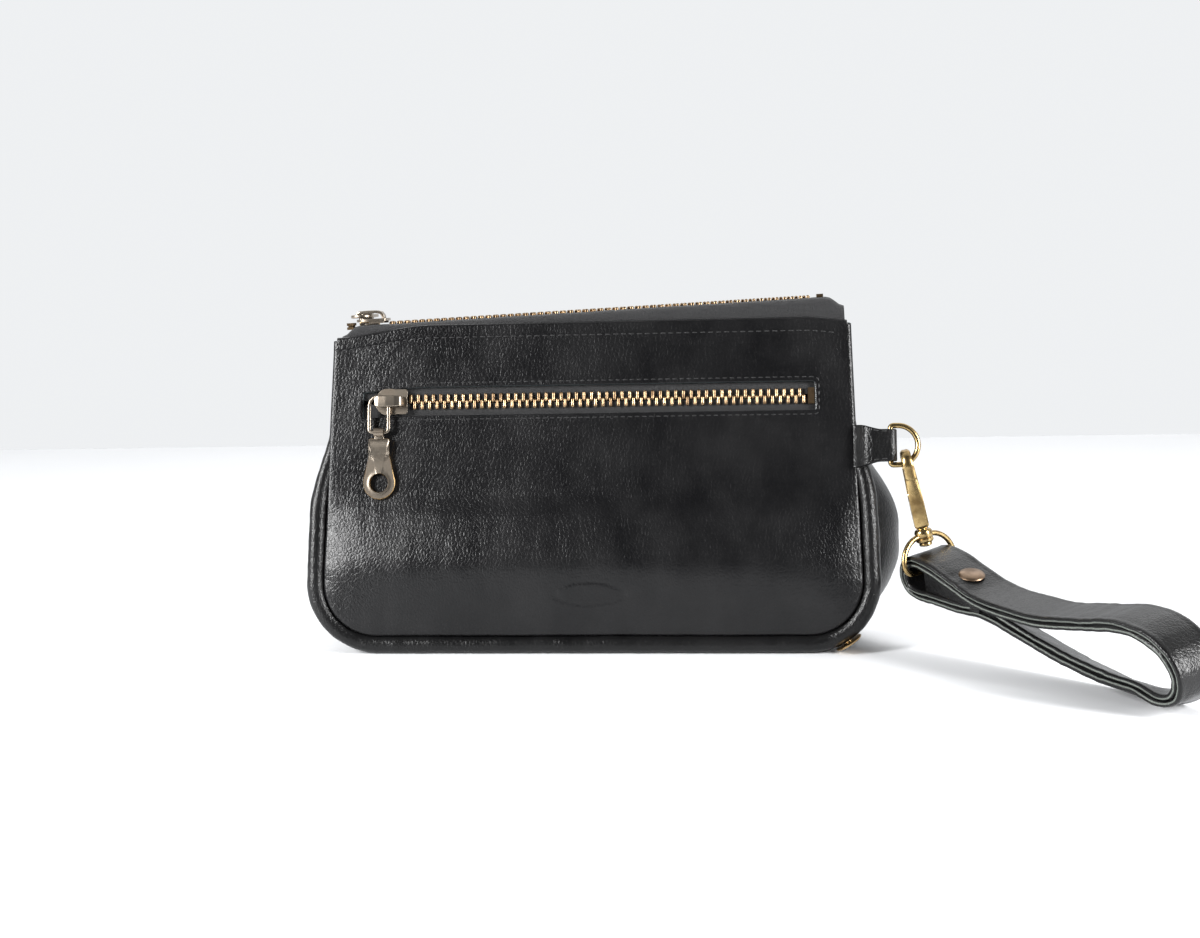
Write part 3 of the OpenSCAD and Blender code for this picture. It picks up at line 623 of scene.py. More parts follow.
def relief(x, z, side):
    """How far the leather stands proud of the panel's plain face: swells, creases, hem and seams."""
    edge = half_width(max(z, CORNER_Z)) - abs(x)
    low = 1 - smooth((z - FADE_LOW) / (FADE_HIGH - FADE_LOW))
    h = 0.75 * wave(x, z, 3.1 + side, 58, 46) + 0.24 * wave(x, z, 7.7 + side, 21, 24)
    h += 0.12 * wave(x, z, 1.3 + side, 4.5, 14)
    share = abs(x) / half_width(max(z, CORNER_Z))
    belly = smooth((z - PANEL_FOOT_Z) / BELLY_FOOT) * (1 - smooth((z - BELLY_MIDDLE) / BELLY_TOP))
    h += (BELLY_ROUND * (1 - share**2.4) + BELLY_FULL * (1 - share**6)) * belly
    down = TOP_Z - z
    h += 0.3 * (1 - smooth((down - HEM + 0.3) / 0.8))
    h -= 0.3 * bump_at(down - HEM_SEAM, 0.55) * (0.7 + 0.3 * cos(2 * pi * x / STITCH))
    h -= (0.9 + 0.35 * wave(x, z, 5.5, 9, 5)) * exp(-max(edge, 0) / 2.4) * low
    h -= (0.9 + 0.35 * wave(x, z, 6.5, 6, 9)) * exp(-(z - PANEL_FOOT_Z) / 2.6)
    h += 0.3 * low * exp(-max(edge, 0) / 9) * wave(x, z, 9.1, 40, 4.5)
    corner = exp(-(((abs(x) - 80) / 17) ** 2) - ((z - 103) / 15) ** 2)
    h += corner * 0.6 * wave(0.7 * x + 0.7 * z, 0.7 * z - 0.7 * x, 2.2 + side, 24, 4.2)
    if side < 0:
        d = window_distance(x, z)
        h += 0.3 * (1 - smooth((d - 0.6) / 5))
        h -= 0.32 * bump_at(d - 1.5, 0.5) * (0.7 + 0.3 * cos(2 * pi * x / WINDOW_STITCH))
        h += 0.1 * bump_at(d - 2.6, 1.8) * wave(x, z, 4.4, 1.5, 3)
        h -= 0.4 * bump_at(hypot(x / MOTIF_HALF_W, (z - MOTIF_Z) / MOTIF_HALF_H) - 1, 0.13)
        under_pull = smooth((z - 50) / 10)
        h = mix(h, 0.4 * h - 0.3, under_pull)
    return h


def panel_point(x, z, side, sunk=0.0):
    return Vector((x, side * (face_depth(z) + relief(x, z, side) - sunk), z - droop(x, z)))


def even_steps(start, end, step):
    count = max(1, round(abs(end - start) / step))
    return [mix(start, end, i / count) for i in range(count)]


def panel_shell(side, window):
    """A leather panel: its face, the fold along its top, and its turned edges down to the seam."""
    span = half_width(WINDOW_Z) - EDGE_R
    left, right = WINDOW_X - WINDOW_W / 2, WINDOW_X + WINDOW_W / 2
    columns = [x / span for x in even_steps(-span, left, 1) + even_steps(left, right, 0.72)
               + even_steps(right, span, 1) + [span]]
    upper, lower = WINDOW_Z + WINDOW_HALF_H, WINDOW_Z - WINDOW_HALF_H
    heights = (
        even_steps(TOP_Z - HEM_FOLD_R, TOP_Z - 7, 0.42) + even_steps(TOP_Z - 7, upper + 3, 1.1)
        + even_steps(upper + 3, upper, 0.5) + even_steps(upper, lower, 0.9) + even_steps(lower, lower - 3, 0.5)
        + even_steps(lower - 3, MOTIF_Z + 6, 1.15) + even_steps(MOTIF_Z + 6, CORNER_Z, 0.5)
    )
    first_hole, last_hole = columns.index(left / span), columns.index(right / span)
    rows, ends = [], []
    for z in heights:
        half = half_width(z) - EDGE_R
        rows.append([panel_point(u * half, z, side) for u in columns])
        ends.append(Vector((1, 0, -0.03)))
    for i in range(CORNER_ROWS + 1):
        a = radians(90 * i / CORNER_ROWS)
        half = half_width(CORNER_Z) - CORNER_R + (CORNER_R - EDGE_R) * cos(a)
        z = CORNER_Z - (CORNER_R - EDGE_R) * sin(a)
        rows.append([panel_point(u * half, z, side) for u in columns])
        ends.append(Vector((cos(a), 0, -sin(a))))
    top, bottom = (heights.index(min(heights, key=lambda z: abs(z - edge))) for edge in (upper, lower))

    def in_window(r, c):
        return window and top <= r < bottom and first_hole <= c < last_hole

    face = lattice(rows, leave_out=in_window)

    fold = []
    for depth, rise in ((2 * HEM_FOLD_R, -9), (2 * HEM_FOLD_R, -3)):
        fold.append([p - Vector((0, side * depth, -rise)) for p in rows[0]])
    for i in range(9):
        a = radians(180 - 180 * i / 8)
        offset = Vector((0, side * HEM_FOLD_R * (cos(a) - 1), HEM_FOLD_R * sin(a)))
        fold.append([p + offset for p in rows[0]])

    border = [(row[-1], n) for row, n in zip(rows, ends)]
    border += [(p, Vector((0, 0, -1))) for p in reversed(rows[-1][1:-1])]
    border += [(row[0], Vector((-n.x, 0, n.z))) for row, n in reversed(list(zip(rows, ends)))]
    turned_edge = []
    for p, n in border:
        strip = [p]
        for a in (18, 36, 54, 72, 90):
            strip.append(p + n * EDGE_R * sin(radians(a)) + Vector((0, side * EDGE_R * (cos(radians(a)) - 1), 0)))
        strip.append(strip[-1] - Vector((0, side * 2.4, 0)))
        turned_edge.append(strip)
    return [face, lattice(fold), lattice(turned_edge)]


def welded(obj, side_of):
    """Joins the shells of a skin along their shared edges, and turns its faces outwards."""
    work = bmesh.new()
    work.from_mesh(obj.data)
    bmesh.ops.remove_doubles(work, verts=work.verts, dist=1e-6)
    bmesh.ops.recalc_face_normals(work, faces=work.faces)
    work.normal_update()
    outward = sum(f.normal.dot(side_of(f.calc_center_median())) * f.calc_area() for f in work.faces)
    if outward < 0:
        bmesh.ops.reverse_faces(work, faces=work.faces)
    work.to_mesh(obj.data)
    work.free()
    return obj


def make_panel(name, side, window):
    obj = piece(name, panel_shell(side, window), "bag", [bag_leather, edge_paint],
                stands_for=["front_panel" if side < 0 else "rear_panel"], sharp=60)
    welded(obj, lambda p: Vector((0, side, 0)))
    return thicken(obj, SKIN_T, rim_paint=1)


def make_piping(name, side, node):
    """The round piping: it starts behind the panel's edge and runs down, round the corners and along the base."""
    loop = outline_loop(PIPING_D / 2, -2.2, FADE_HIGH + 6, step=PIPING_STEP)
    path, radii, ups = [], [], []
    for x, z, n in loop:
        fade = 1 - smooth((z - FADE_LOW) / (FADE_HIGH - FADE_LOW))
        radii.append(mix(PIPING_TOP_R, PIPING_D / 2, fade))
        path.append(Vector((x, side * (face_depth(max(z, FOOT_Z)) - mix(3.4, 2.35, fade)), z)))
        ups.append(n)

    def section(i):
        run = i * PIPING_STEP
        ring = []
        for k in range(PIPING_POINTS):
            a = 2 * pi * k / PIPING_POINTS
            r = radii[i] + 0.16 * wave(run, 6 * cos(a), 3.3 + side, 3.2, 5) + 0.12 * wave(run, 6 * sin(a), 8.8, 9, 6)
            ring.append((r * cos(a), r * sin(a)))
        return ring

    points, faces, paints = sweep(path, section, up=lambda i: ups[i])
    points = [Vector((p.x, p.y, max(p.z, 0.02))) for p in points]
    return piece(name, [(points, faces, paints)], "bag", [piping_leather], [node], sharp=80)


def gusset_bulge(x, z):
    """How far the gusset swells at its middle: more on the side of the strap, and inwards near the top."""
    out = (BULGE_STRAP_SIDE if x > 0 else BULGE_SLIDER_SIDE) * smooth((z - 8) / 28) * (1 - smooth((z - 44) / 34))
    return out - GUSSET_FOLD_IN * smooth((z - GUSSET_FOLD_Z) / 8)


def make_gusset():
    """The strip between the two panels: flat under the bag, bulging at its sides, and folded in at its top."""
    rows = []
    for x, z, n in outline_loop(PIPING_D - 0.9, -EDGE_R, TOP_Z - 4.5, step=1.5):
        half = face_depth(z) - mix(4.4, 2.2, smooth((z - FADE_LOW) / (FADE_HIGH - FADE_LOW)))
        row = []
        for k in range(GUSSET_CELLS + 1):
            v = -1 + 2 * k / GUSSET_CELLS
            y = v * half
            swell = gusset_bulge(x, z) * (1 - v * v) if n.z > -0.9 else 0.0
            swell += (0.35 * wave(y, z + abs(x), 4.2, 14, 12) + 0.12 * wave(y, z + abs(x), 1.9, 3, 9)) * (1 - v**6)
            point = Vector((x, y, z)) + n * (swell + (0.5 * (1 - v * v) if n.z < -0.9 else 0))
            point.z = max(point.z - droop(x, z), 0.25)
            row.append(point)
        rows.append(row)
    obj = piece("gusset_leather", [lattice(rows)], "bag", [bag_leather, edge_paint], ["gusset"],
                sharp=80)
    welded(obj, lambda p: Vector((p.x, 0, p.z - 50)))
    return thicken(obj, SKIN_T, rim_paint=1)


# ---- Stitches ----


def stitch_shells(path, normals, length=2.1, gap=0.8, r=0.26, sink=0.22):
    """Short thread capsules along a path, each lying on the surface."""
    shells, start = [], 0.0
    lengths = [0.0]
    for a, b in zip(path, path[1:]):
        lengths.append(lengths[-1] + (b - a).length)

    def at(distance):
        k = 0
        while k < len(path) - 2 and lengths[k + 1] < distance:
            k += 1
        t = (distance - lengths[k]) / max(1e-9, lengths[k + 1] - lengths[k])
        return path[k].lerp(path[k + 1], t), normals[k].lerp(normals[k + 1], t).normalized()

    while start + length < lengths[-1]:
        rings = []
        for share, scale, lift in ((0, 0.35, -0.7), (0.12, 0.85, 0), (0.5, 1, 0.5), (0.88, 0.85, 0), (1, 0.35, -0.7)):
            p, n = at(start + length * share)
            q, _ = at(min(lengths[-1], start + length * share + 0.1))
            along = (q - p).normalized()
            side = along.cross(n).normalized()
            middle = p + n * (r * 0.5 - sink + lift * r)
            turns = [2 * pi * k / 8 for k in range(8)]
            rings.append([middle + (side * cos(a) + n * sin(a)) * r * scale for a in turns])
        shells.append(solid_of_rings(rings))
        start += length + gap
    return shells


def hem_path(side):
    xs = [-92 + i * 1.0 for i in range(185)]
    z = TOP_Z - HEM_SEAM
    points = [panel_point(x, z, side) for x in xs]
    return points, [Vector((0, side * cos(LEAN), sin(LEAN)))] * len(points)


def window_path():
    outline = rounded_rectangle(WINDOW_W + 3, 2 * WINDOW_HALF_H + 3, 1.5)
    loop = even_path([Vector((x + WINDOW_X, z + WINDOW_Z, 0)) for x, z in outline], 1.0, closed=True)
    loop.append(loop[0])
    points = [panel_point(p.x, p.y, -1) for p in loop]
    return points, [Vector((0, -cos(LEAN), sin(LEAN)))] * len(points)


# ---- Zips ----


def tooth_shell(x, side):
    """One tooth: a clamp over the tape and a rounded head that reaches past the middle."""
    rings = []
    for y, half_x, half_z in (
        (-TOOTH_OVER, 0.36, 0.62), (-TOOTH_OVER + 0.2, 0.54, 0.92), (0.2, 0.6, 1.08), (0.8, 0.52, 0.98),
        (1.3, 0.6, 1.1), (2.5, 0.62, 1.1), (2.8, 0.5, 0.95), (CHAIN_W / 2, 0.34, 0.7),
    ):
        ring = rounded_rectangle(2 * half_x, 2 * half_z, 0.8 * half_x, steps=2)
        rings.append([Vector((x + a, side * y, b)) for a, b in ring])
    shell = solid_of_rings(rings)
    return shell if side < 0 else flipped(shell)


def teeth_places(node, zip_frame):
    """Where the teeth of a row are, from the first tooth's place in its CAD node."""
    low, high = node_box(node)
    back = zip_frame.inverted()
    start, end = (back @ low).x + TOOTH_T / 2, (back @ high).x
    return [start + i * PITCH for i in range(int((end - start) / PITCH) + 1)]


def make_teeth(name, node, zip_frame, side):
    shells = [moved(tooth_shell(x, side), zip_frame) for x in teeth_places(node, zip_frame)]
    return piece(name, shells, "bag", [teeth_brass], [node], sharp=50)


TAPE_WAVE, TAPE_STEP, SAG_LENGTH = 0.12, 1.6, 6


def tape_rows(zip_frame, start, end, profile, side, end_sag):
    rows = []
    for x in even_steps(start, end, TAPE_STEP) + [end]:
        sag = end_sag * smooth((abs(x - (start + end) / 2) - (end - start) / 2 + SAG_LENGTH) / SAG_LENGTH)
        rows.append([
            zip_frame @ Vector((x, side * y, z - sag + TAPE_WAVE * wave(x, y, 2.7 + side, 7, 6))) for y, z in profile
        ])
    return rows


def make_tape(name, node, zip_frame, half_length, centre, profile, side, end_sag=0.0):
    rows = tape_rows(zip_frame, centre - half_length, centre + half_length, profile, side, end_sag)
    obj = piece(name, [lattice(rows)], "bag", [tape_cloth], [node], sharp=60)
    out = zip_frame.to_3x3() @ UP
    welded(obj, lambda p: out)
    return thicken(obj, TAPE_T)


def slider_shells():
    """A slider on a zip's frame: two waisted plates, a post at its front and the bridge that holds the bail."""
    plate = (
        arc(SLIDER_W / 2 - SLIDER_L / 2, 0, SLIDER_W / 2, 110, 250, 14)
        + [(-0.4, -SLIDER_W / 2 + 0.15), (1.6, -SLIDER_W / 2 + 0.5), (SLIDER_L / 2 - 0.8, -SLIDER_W / 2 + 0.5)]
        + arc(SLIDER_L / 2 - 0.8, -SLIDER_W / 2 + 1.3, 0.8, -90, 0, 4)
        + arc(SLIDER_L / 2 - 0.8, SLIDER_W / 2 - 1.3, 0.8, 0, 90, 4)
        + [(1.6, SLIDER_W / 2 - 0.5), (-0.4, SLIDER_W / 2 - 0.15)]
    )
    shells = [prism(plate, PLATE_GAP, PLATE_GAP + PLATE_T), prism(plate, -PLATE_GAP - PLATE_T, -PLATE_GAP)]
    for side in (-1, 1):
        flange = [(-0.5, 3.7), (SLIDER_L / 2 - 0.8, 3.7), (SLIDER_L / 2 - 0.8, 4.2), (-0.5, 4.3)]
        outline = [(x, side * y) for x, y in (flange if side > 0 else reversed(flange))]
        shells.append(prism(outline, PLATE_GAP - 0.75, PLATE_GAP + 0.2))
        shells.append(prism(outline, -PLATE_GAP - 0.2, -PLATE_GAP + 0.75))
    post = turned([(0.9, PLATE_GAP + 0.5), (0.9, BAIL_N + 1.9)], 16)
    shells.append(moved(post, Matrix.Translation((POST_X, 0, 0))))
    crown = BAIL_N + 2.0
    route = [(4.4, PLATE_GAP + 0.5), (4.35, crown - 1.6), (3.6, crown - 0.45), (2.0, crown), (-1.5, crown + 0.12),
             (-4.3, crown), (-5.35, crown - 0.3), (-5.6, crown - 0.9)]
    path = even_path([Vector((x, 0, z)) for x, z in route], 0.35)

    def section(i):
        t = i / (len(path) - 1)
        half = mix(1.75, 2.05, smooth(t * 2)) - 0.5 * smooth((t - 0.85) / 0.15)
        return rounded_rectangle(2 * half, 1.05, 0.32, 3)

    shells.append(sweep(path, section, up=Vector((0.05, 0, 1))))
    return shells


def bail_shell(towards):
    """The ring on the slider, which hangs from the post; towards is -1 for down its frame's y axis, or 1."""
    r, drop, foot = 3.6, 1.7, 10.22
    route = arc(0, -drop, r, 0, 180, 14) + arc(1.1 - r, 1.1 - foot - drop + 0.6, 1.1, 180, 270, 5)
    route += arc(r - 1.1, 1.1 - foot - drop + 0.6, 1.1, 270, 360, 5)
    path = even_path([Vector((POST_X + x, y * -towards, BAIL_N + 0.6)) for x, y in route], 0.6, closed=True)
    ring = rounded_rectangle(1.25, 1.25, 0.36, 3)
    return sweep(path, lambda i: ring, closed=True)


def pull_shells(drop):
    """The pull tab on its hinge's frame: an eye, a neck, a raised shoulder and a round end with a hole."""
    reach, donut, hole, t = 18.7, 6.0, 3.4, 1.3
    half = 3.9
    outline = (
        arc(0, -reach, donut, 165, 375, 40) + [(half, -8.6)] + arc(half - 0.7, -2.9, 0.7, 0, 90, 4)
        + arc(0.7 - half, -2.9, 0.7, 90, 180, 4) + [(-half, -8.6)]
    )
    inner = arc(0, -reach, hole, 0, 360, 40)[:-1]

    def rise(x, y):
        return 0.75 * smooth((y + 8.8) / 2.0) - 0.5 * smooth((y + 3.6) / 1.6)

    def levels(x, y):
        rim = hypot(x, y + reach)
        dish = 0.16 * bump_at(rim - hole - 0.35, 0.45)
        return -drop, t - drop + dish

    plate = ring_plate(outline, inner, levels, chamfer=0.22, lift=rise, edge_paint=1)
    eye = sweep([Vector((x, 0, 0)) for x in (-1.8, -1.2, 0, 1.2, 1.8)], round_section(1.6, 20))
    neck = [Vector((0, y, 0.35 - drop + 0.65 + z)) for y, z in ((-0.4, 0.35), (-1.8, 0.1), (-3.4, 0.0))]
    strip = rounded_rectangle(3.6, 1.2, 0.3, 3)
    return [plate, eye, sweep(neck, lambda i: strip)]


def make_slider(name, node, zip_frame, body):
    shells = [moved(s, zip_frame) for s in slider_shells()]
    return piece(name, shells, body, [pull_nickel], [node], bevel=0.16, sharp=35)


def make_bail(name, node, zip_frame, body, towards):
    return piece(name, [moved(bail_shell(towards), zip_frame)], body, [pull_nickel], [node], sharp=60)


def make_pull(name, node, matrix, body, drop):
    shells = [moved(s, matrix) for s in pull_shells(drop)]
    return piece(name, shells, body, [pull_nickel, pull_edge], [node], sharp=40)


# ---- Side loop, rings and hook ----

RING_R, RING_LEG = 7.0, 2.6
TAB_ROOT = -12.4
TAB_LEATHER_T = 1.15


def make_tab():
    """A strip of leather folded round the side ring's bar, with both ends sewn into the bag's seam."""
    wrap = WIRE_R + 0.1 + TAB_LEATHER_T / 2
    route = [(TAB_ROOT - 1, 4.6), (TAB_ROOT + 1, 3.2), (TAB_ROOT + 2.2, 1.0), (TAB_ROOT + 4, -0.9)]
    route += [(-6, -wrap), (-4, -wrap)]
    route += arc(0, 0, wrap, -90, 90, 14)
    route += [(-4, wrap), (-6, wrap + 0.2), (TAB_ROOT + 4, 2.6), (TAB_ROOT + 2.6, 4.0), (TAB_ROOT + 1, 5.6)]
    path = even_path([Vector((x, y, 0)) for x, y in route], 0.7)

    def section(i):
        x = path[i].x
        half = mix(5.7, 7.75, smooth((-3.0 - x) / 9)) + 0.06 * wave(x, 0, 3.1, 3, 3)
        return [(a, b + 0.05 * wave(x, a, 5.5, 4, 5)) for a, b in rounded_rectangle(2 * half, TAB_LEATHER_T, 0.42, 3)]

    def lie(i):
        a, b = path[max(i - 1, 0)], path[min(i + 1, len(path) - 1)]
        along = (b - a).normalized()
        return Vector((along.y, -along.x, 0))

    shell = sweep(path, section, up=lie)
    return piece("side_loop", [moved(shell, SIDE_RING)], "bag", [piping_leather, edge_paint],
                 ["side_tab"], sharp=60)


def tab_stitches():
    shells = []
    outward = Vector((0, -1, 0))
    for z_share in (-0.86, 0.86):
        points = [Vector((x, -WIRE_R - TAB_LEATHER_T - 0.1, z_share * mix(5.7, 7.75, smooth((-3.0 - x) / 9))))
                  for x in (-6.2, -4, -2, -0.6)]
        shells += stitch_shells(points, [outward] * len(points))
    return [moved(s, SIDE_RING) for s in shells]


def make_side_ring():
    corner = 0.9
    route = [(0, -RING_R + corner), (0, RING_R - corner)]
    route += [(corner * (1 - cos(radians(a))), RING_R - corner * (1 - sin(radians(a)))) for a in (30, 60, 90)]
    route += [(RING_LEG + RING_R * cos(radians(a)), RING_R * sin(radians(a))) for a in range(90, -91, -6)]
    route += [(corner * (1 - cos(radians(a))), -RING_R + corner * (1 - sin(radians(a)))) for a in (90, 60, 30)]
    path = even_path([Vector((x, 0, z)) for x, z in route], 0.5, closed=True)
    shell = wire(path, 1.0, closed=True, up=Vector((0, 1, 0)))
    return piece("side_d_ring", [moved(shell, SIDE_RING)], "side_ring", [ring_brass], ["side_ring"],
                 sharp=80)


HOOK_L, HOOK_HEAD_R, SLOT_R, SLOT_L = 24, 5.2, 2.8, 10.4


def hook_outline():
    """The hook's outer outline in its YZ plane, as (y, z), leaving the gap that the gate closes."""
    head = arc(0, -0.4, HOOK_HEAD_R, -14, 194, 30)
    left = [(-3.7, -14), (-2.75, -HOOK_L + 0.9), (-2.2, -HOOK_L)]
    return head + left + [(-y, z) for y, z in reversed(left)]


def slot_outline():
    return arc(0, 0, SLOT_R, 0, 180, 16) + arc(0, -SLOT_L, SLOT_R, 180, 360, 16)


TURN_YZ = Matrix(((0, 0, 1, 0), (1, 0, 0, 0), (0, 1, 0, 0), (0, 0, 0, 1)))


def hook_half_thickness(z):
    return mix(1.75, 2.5, smooth((3 - z) / 20))


def make_hook():
    """The snap hook's body, which ends in the post that its eye turns on."""
    plate = ring_plate(
        hook_outline(), slot_outline(), lambda y, z: (-hook_half_thickness(z), hook_half_thickness(z)), chamfer=0.75
    )
    shells = [moved(plate, HOOK @ TURN_YZ)]
    post = turned([
        (1.5, -HOOK_L + 0.5), (1.5, -HOOK_L - 5.0), (2.1, -HOOK_L - 5.1), (2.35, -HOOK_L - 5.6),
        (2.2, -HOOK_L - 6.3), (1.2, -HOOK_L - 6.7),
    ], 24)
    shells.append(moved(flipped(post), HOOK))
    return piece("snap_hook_body", shells, "snap_hook", [ring_brass], ["snap_hook"], sharp=45)


def make_swivel_ring():
    half_w, foot_r, bow_r, height = 11.2, 3.0, 9.0, 12.0
    route = arc(half_w - foot_r, foot_r, foot_r, -90, 0, 8)
    route += arc(half_w - bow_r, height - bow_r, bow_r, 0, 90, 16)
    route += arc(bow_r - half_w, height - bow_r, bow_r, 90, 180, 16)
    route += arc(foot_r - half_w, foot_r, foot_r, 180, 270, 8)
    path = even_path([Vector((0, y, z)) for y, z in route], 0.6, closed=True)
    shells = [wire(path, 1.0, closed=True, up=Vector((1, 0, 0)))]
    profile = [(1.6, -2.35), (2.7, -2.4), (3.1, -2.0), (3.15, -1.2), (2.85, -0.9), (3.15, -0.5), (3.15, 1.4),
               (2.9, 2.0), (2.4, 2.4), (1.6, 2.35)]
    collar = turned([(r, height + z) for r, z in profile])
    shells.append(collar)
    return piece("swivel_d_ring", [moved(s, SWIVEL) for s in shells], "swivel_ring", [ring_brass],
                 ["swivel_ring"], sharp=40)


# ---- Wrist strap ----

# The strap's outer face from the side: (distance from the ring's bar, height over it), as it lies on the table
STRAP_ROUTE = [
    (-7.5, -1.5), (-5.2, 4.2), (0.5, 6.5), (10, 5), (20, 1.5), (30, -2), (45, -3.6), (62, -3.4),
    (80, -0.6), (95, 1.8), (106, 0.8), (115, -4), (119.6, -12), (117.5, -20), (109, -24.8), (97, -25.8),
    (83, -25.1), (68, -22.8), (50, -18.6), (34, -14.2), (20, -10.8), (10, -9.8), (0.5, -9.5), (-5.2, -7.2),
]
RIVET_S, RIVET_N, RIVET_SLOPE = 20, -4.4, radians(-14)


def strap_section(run):
    """Two plies sewn back to back: rounded edges, a groove between them, and a light cut edge on each ply."""
    half, ply = STRAP_W / 2, STRAP_T / 2
    w = 0.12 * wave(run, 0, 6.1, 11, 3)
    right = [
        (half - 1.0, 0.0), (half - 0.35, 0.2), (half - 0.05, 0.65), (half, 1.05),
        (half - 0.12, 1.55), (half - 0.6, 2.0), (half - 0.9, ply),
        (half - 0.6, STRAP_T - 2.0), (half - 0.12, STRAP_T - 1.55), (half, STRAP_T - 1.05),
        (half - 0.05, STRAP_T - 0.65), (half - 0.35, STRAP_T - 0.2), (half - 1.0, STRAP_T),
    ]
    across = (0.8, 0.72, 0.6, 0.3, 0, -0.3, -0.6, -0.72, -0.8)
    inner = [(half * s, STRAP_T - 0.1 * bump_at(abs(s) - 0.72, 0.08)) for s in across]
    outer = [(half * s, 0.12 * bump_at(abs(s) - 0.72, 0.08)) for s in reversed(across)]
    left = [(-x, t) for x, t in reversed(right)]
    return [(x, t + w) for x, t in right + inner + left + outer]


EDGE_LINES = (3, 8)


def make_strap():
    curve = closed_curve(STRAP_ROUTE, 10)
    path = even_path([Vector((p[0], p[1], 0)) for p in curve], 1.0, closed=True)
    n = len(path)
    rows = []
    for i, p in enumerate(path):
        along = (path[(i + 2) % n] - path[(i - 2) % n]).normalized()
        inward = Vector((along.y, -along.x, 0))
        roll = strap_roll(p)
        row = []
        for x, t in strap_section(i):
            crease = 0.16 * wave(i, x, 3.3, 2.6, 14) + 0.25 * wave(i, x, 1.7, 12, 10)
            t += crease if t < STRAP_T / 2 else -crease
            shift = t - STRAP_T / 2
            y, depth = x * cos(roll) - shift * sin(roll), x * sin(roll) + shift * cos(roll)
            q = p + inward * (STRAP_T / 2 + depth)
            row.append(STRAP @ Vector((q.x, y, q.y)))
        rows.append(row)
    for row in rows:
        for q in row:
            q.z = max(q.z, 0.05)
    count = 13

    def paint(r, c):
        mirrored_c = c - (count + 9)
        return 1 if c in EDGE_LINES or (0 <= mirrored_c < count and (count - 2 - mirrored_c) in EDGE_LINES) else 0

    shell = lattice(rows, round_rows=True, round_columns=True, paint=paint)
    obj = piece("wrist_strap_leather", [shell], "wrist_strap", [strap_leather, strap_edge],
                ["wrist_strap"], sharp=70)
    return welded(obj, lambda p: p / MM - STRAP @ Vector((50, 0, -11)))


def strap_roll(p):
    """The lower layer lies turned a little, with its near edge up."""
    return radians(-30) * smooth((-8 - p.y) / 6) * smooth((p.x - 12) / 26) * smooth((119 - p.x) / 22)


def make_tongue():
    """The end of the strap, folded back between its two layers under the rivet."""
    rows = []
    for s in even_steps(6, 33, 1) + [33]:
        top, bottom = strap_inside(s)
        section = rounded_rectangle(STRAP_W - 1.2, max(0.6, top - bottom - 0.1), 0.3, 3)
        middle = (top + bottom) / 2
        rows.append([STRAP @ Vector((s, x, middle + z)) for x, z in section])
    obj = piece("strap_fold", [solid_of_rings(rows)], "wrist_strap", [strap_leather],
                ["strap_tongue"], sharp=60)
    return welded(obj, lambda p: p / MM - STRAP @ Vector((20, 0, -4)))


def strap_inside(s):
    """Heights of the hollow between the strap's layers at a distance along it."""
    curve = closed_curve(STRAP_ROUTE, 10)
    crossings = []
    for a, b in zip(curve, curve[1:] + curve[:1]):
        if (a[0] - s) * (b[0] - s) <= 0 and a[0] != b[0]:
            crossings.append(mix(a[1], b[1], (s - a[0]) / (b[0] - a[0])))
    return max(crossings) - STRAP_T, min(crossings) + STRAP_T


def make_rivet():
    cap = [(0.6, 1.15), (2.2, 1.08), (3.6, 0.86), (4.35, 0.5), (4.65, 0.12), (4.5, -0.1), (1.5, -0.1)]
    frame_at = STRAP @ Matrix.Translation((RIVET_S, 0, RIVET_N)) @ Matrix.Rotation(-RIVET_SLOPE, 4, "Y")
    head = flipped(turned(cap, 40))
    shells = [moved(head, frame_at @ Matrix.Translation((0, 0, 5.55)))]
    shells.append(moved(head, frame_at @ Matrix.Rotation(pi, 4, "X") @ Matrix.Translation((0, 0, 5.55))))
    shells.append(moved(turned([(1.6, -5.5), (1.6, 5.5)], 20), frame_at))
    return piece("rivet", shells, "wrist_strap", [rivet_copper], ["strap_rivet"], sharp=50)


def make_stud():
    """The disc-headed stud at the foot of the front right corner."""
    a = radians(33)
    outward = Vector((sin(a), 0, -cos(a)))
    centre = Vector((half_width(CORNER_Z) - CORNER_R, -22.6, CORNER_Z)) + outward * (CORNER_R + PIPING_D)
    stud_frame = frame_matrix(centre, Vector((cos(a), 0, sin(a))), outward)
    profile = [(0.8, 1.3), (3.2, 1.22), (4.6, 1.05), (5.1, 0.75), (5.2, 0.45), (4.9, 0.2), (1.4, 0.2), (1.4, -2.4)]
    head = flipped(turned(profile, 40))
    return piece("base_stud", [moved(head, stud_frame)], "bag", [pull_edge], ["corner_stud"],
                 sharp=40)


def repaint(node, material):
    mesh = frame["nodes"][node].data
    mesh.materials.clear()
    mesh.materials.append(material)


# ---- Build the object ----

make_panel("front_leather", -1, window=True)
make_panel("rear_leather", 1, window=False)
make_piping("front_piping_cord", -1, "front_piping")
make_piping("rear_piping_cord", 1, "rear_piping")
make_gusset()
for hem_name, hem_side in (("front_hem_stitches", -1), ("rear_hem_stitches", 1)):
    piece(hem_name, stitch_shells(*hem_path(hem_side)), "bag", [thread])
piece("window_stitches", stitch_shells(*window_path(), length=1.9, gap=0.7), "bag", [thread])

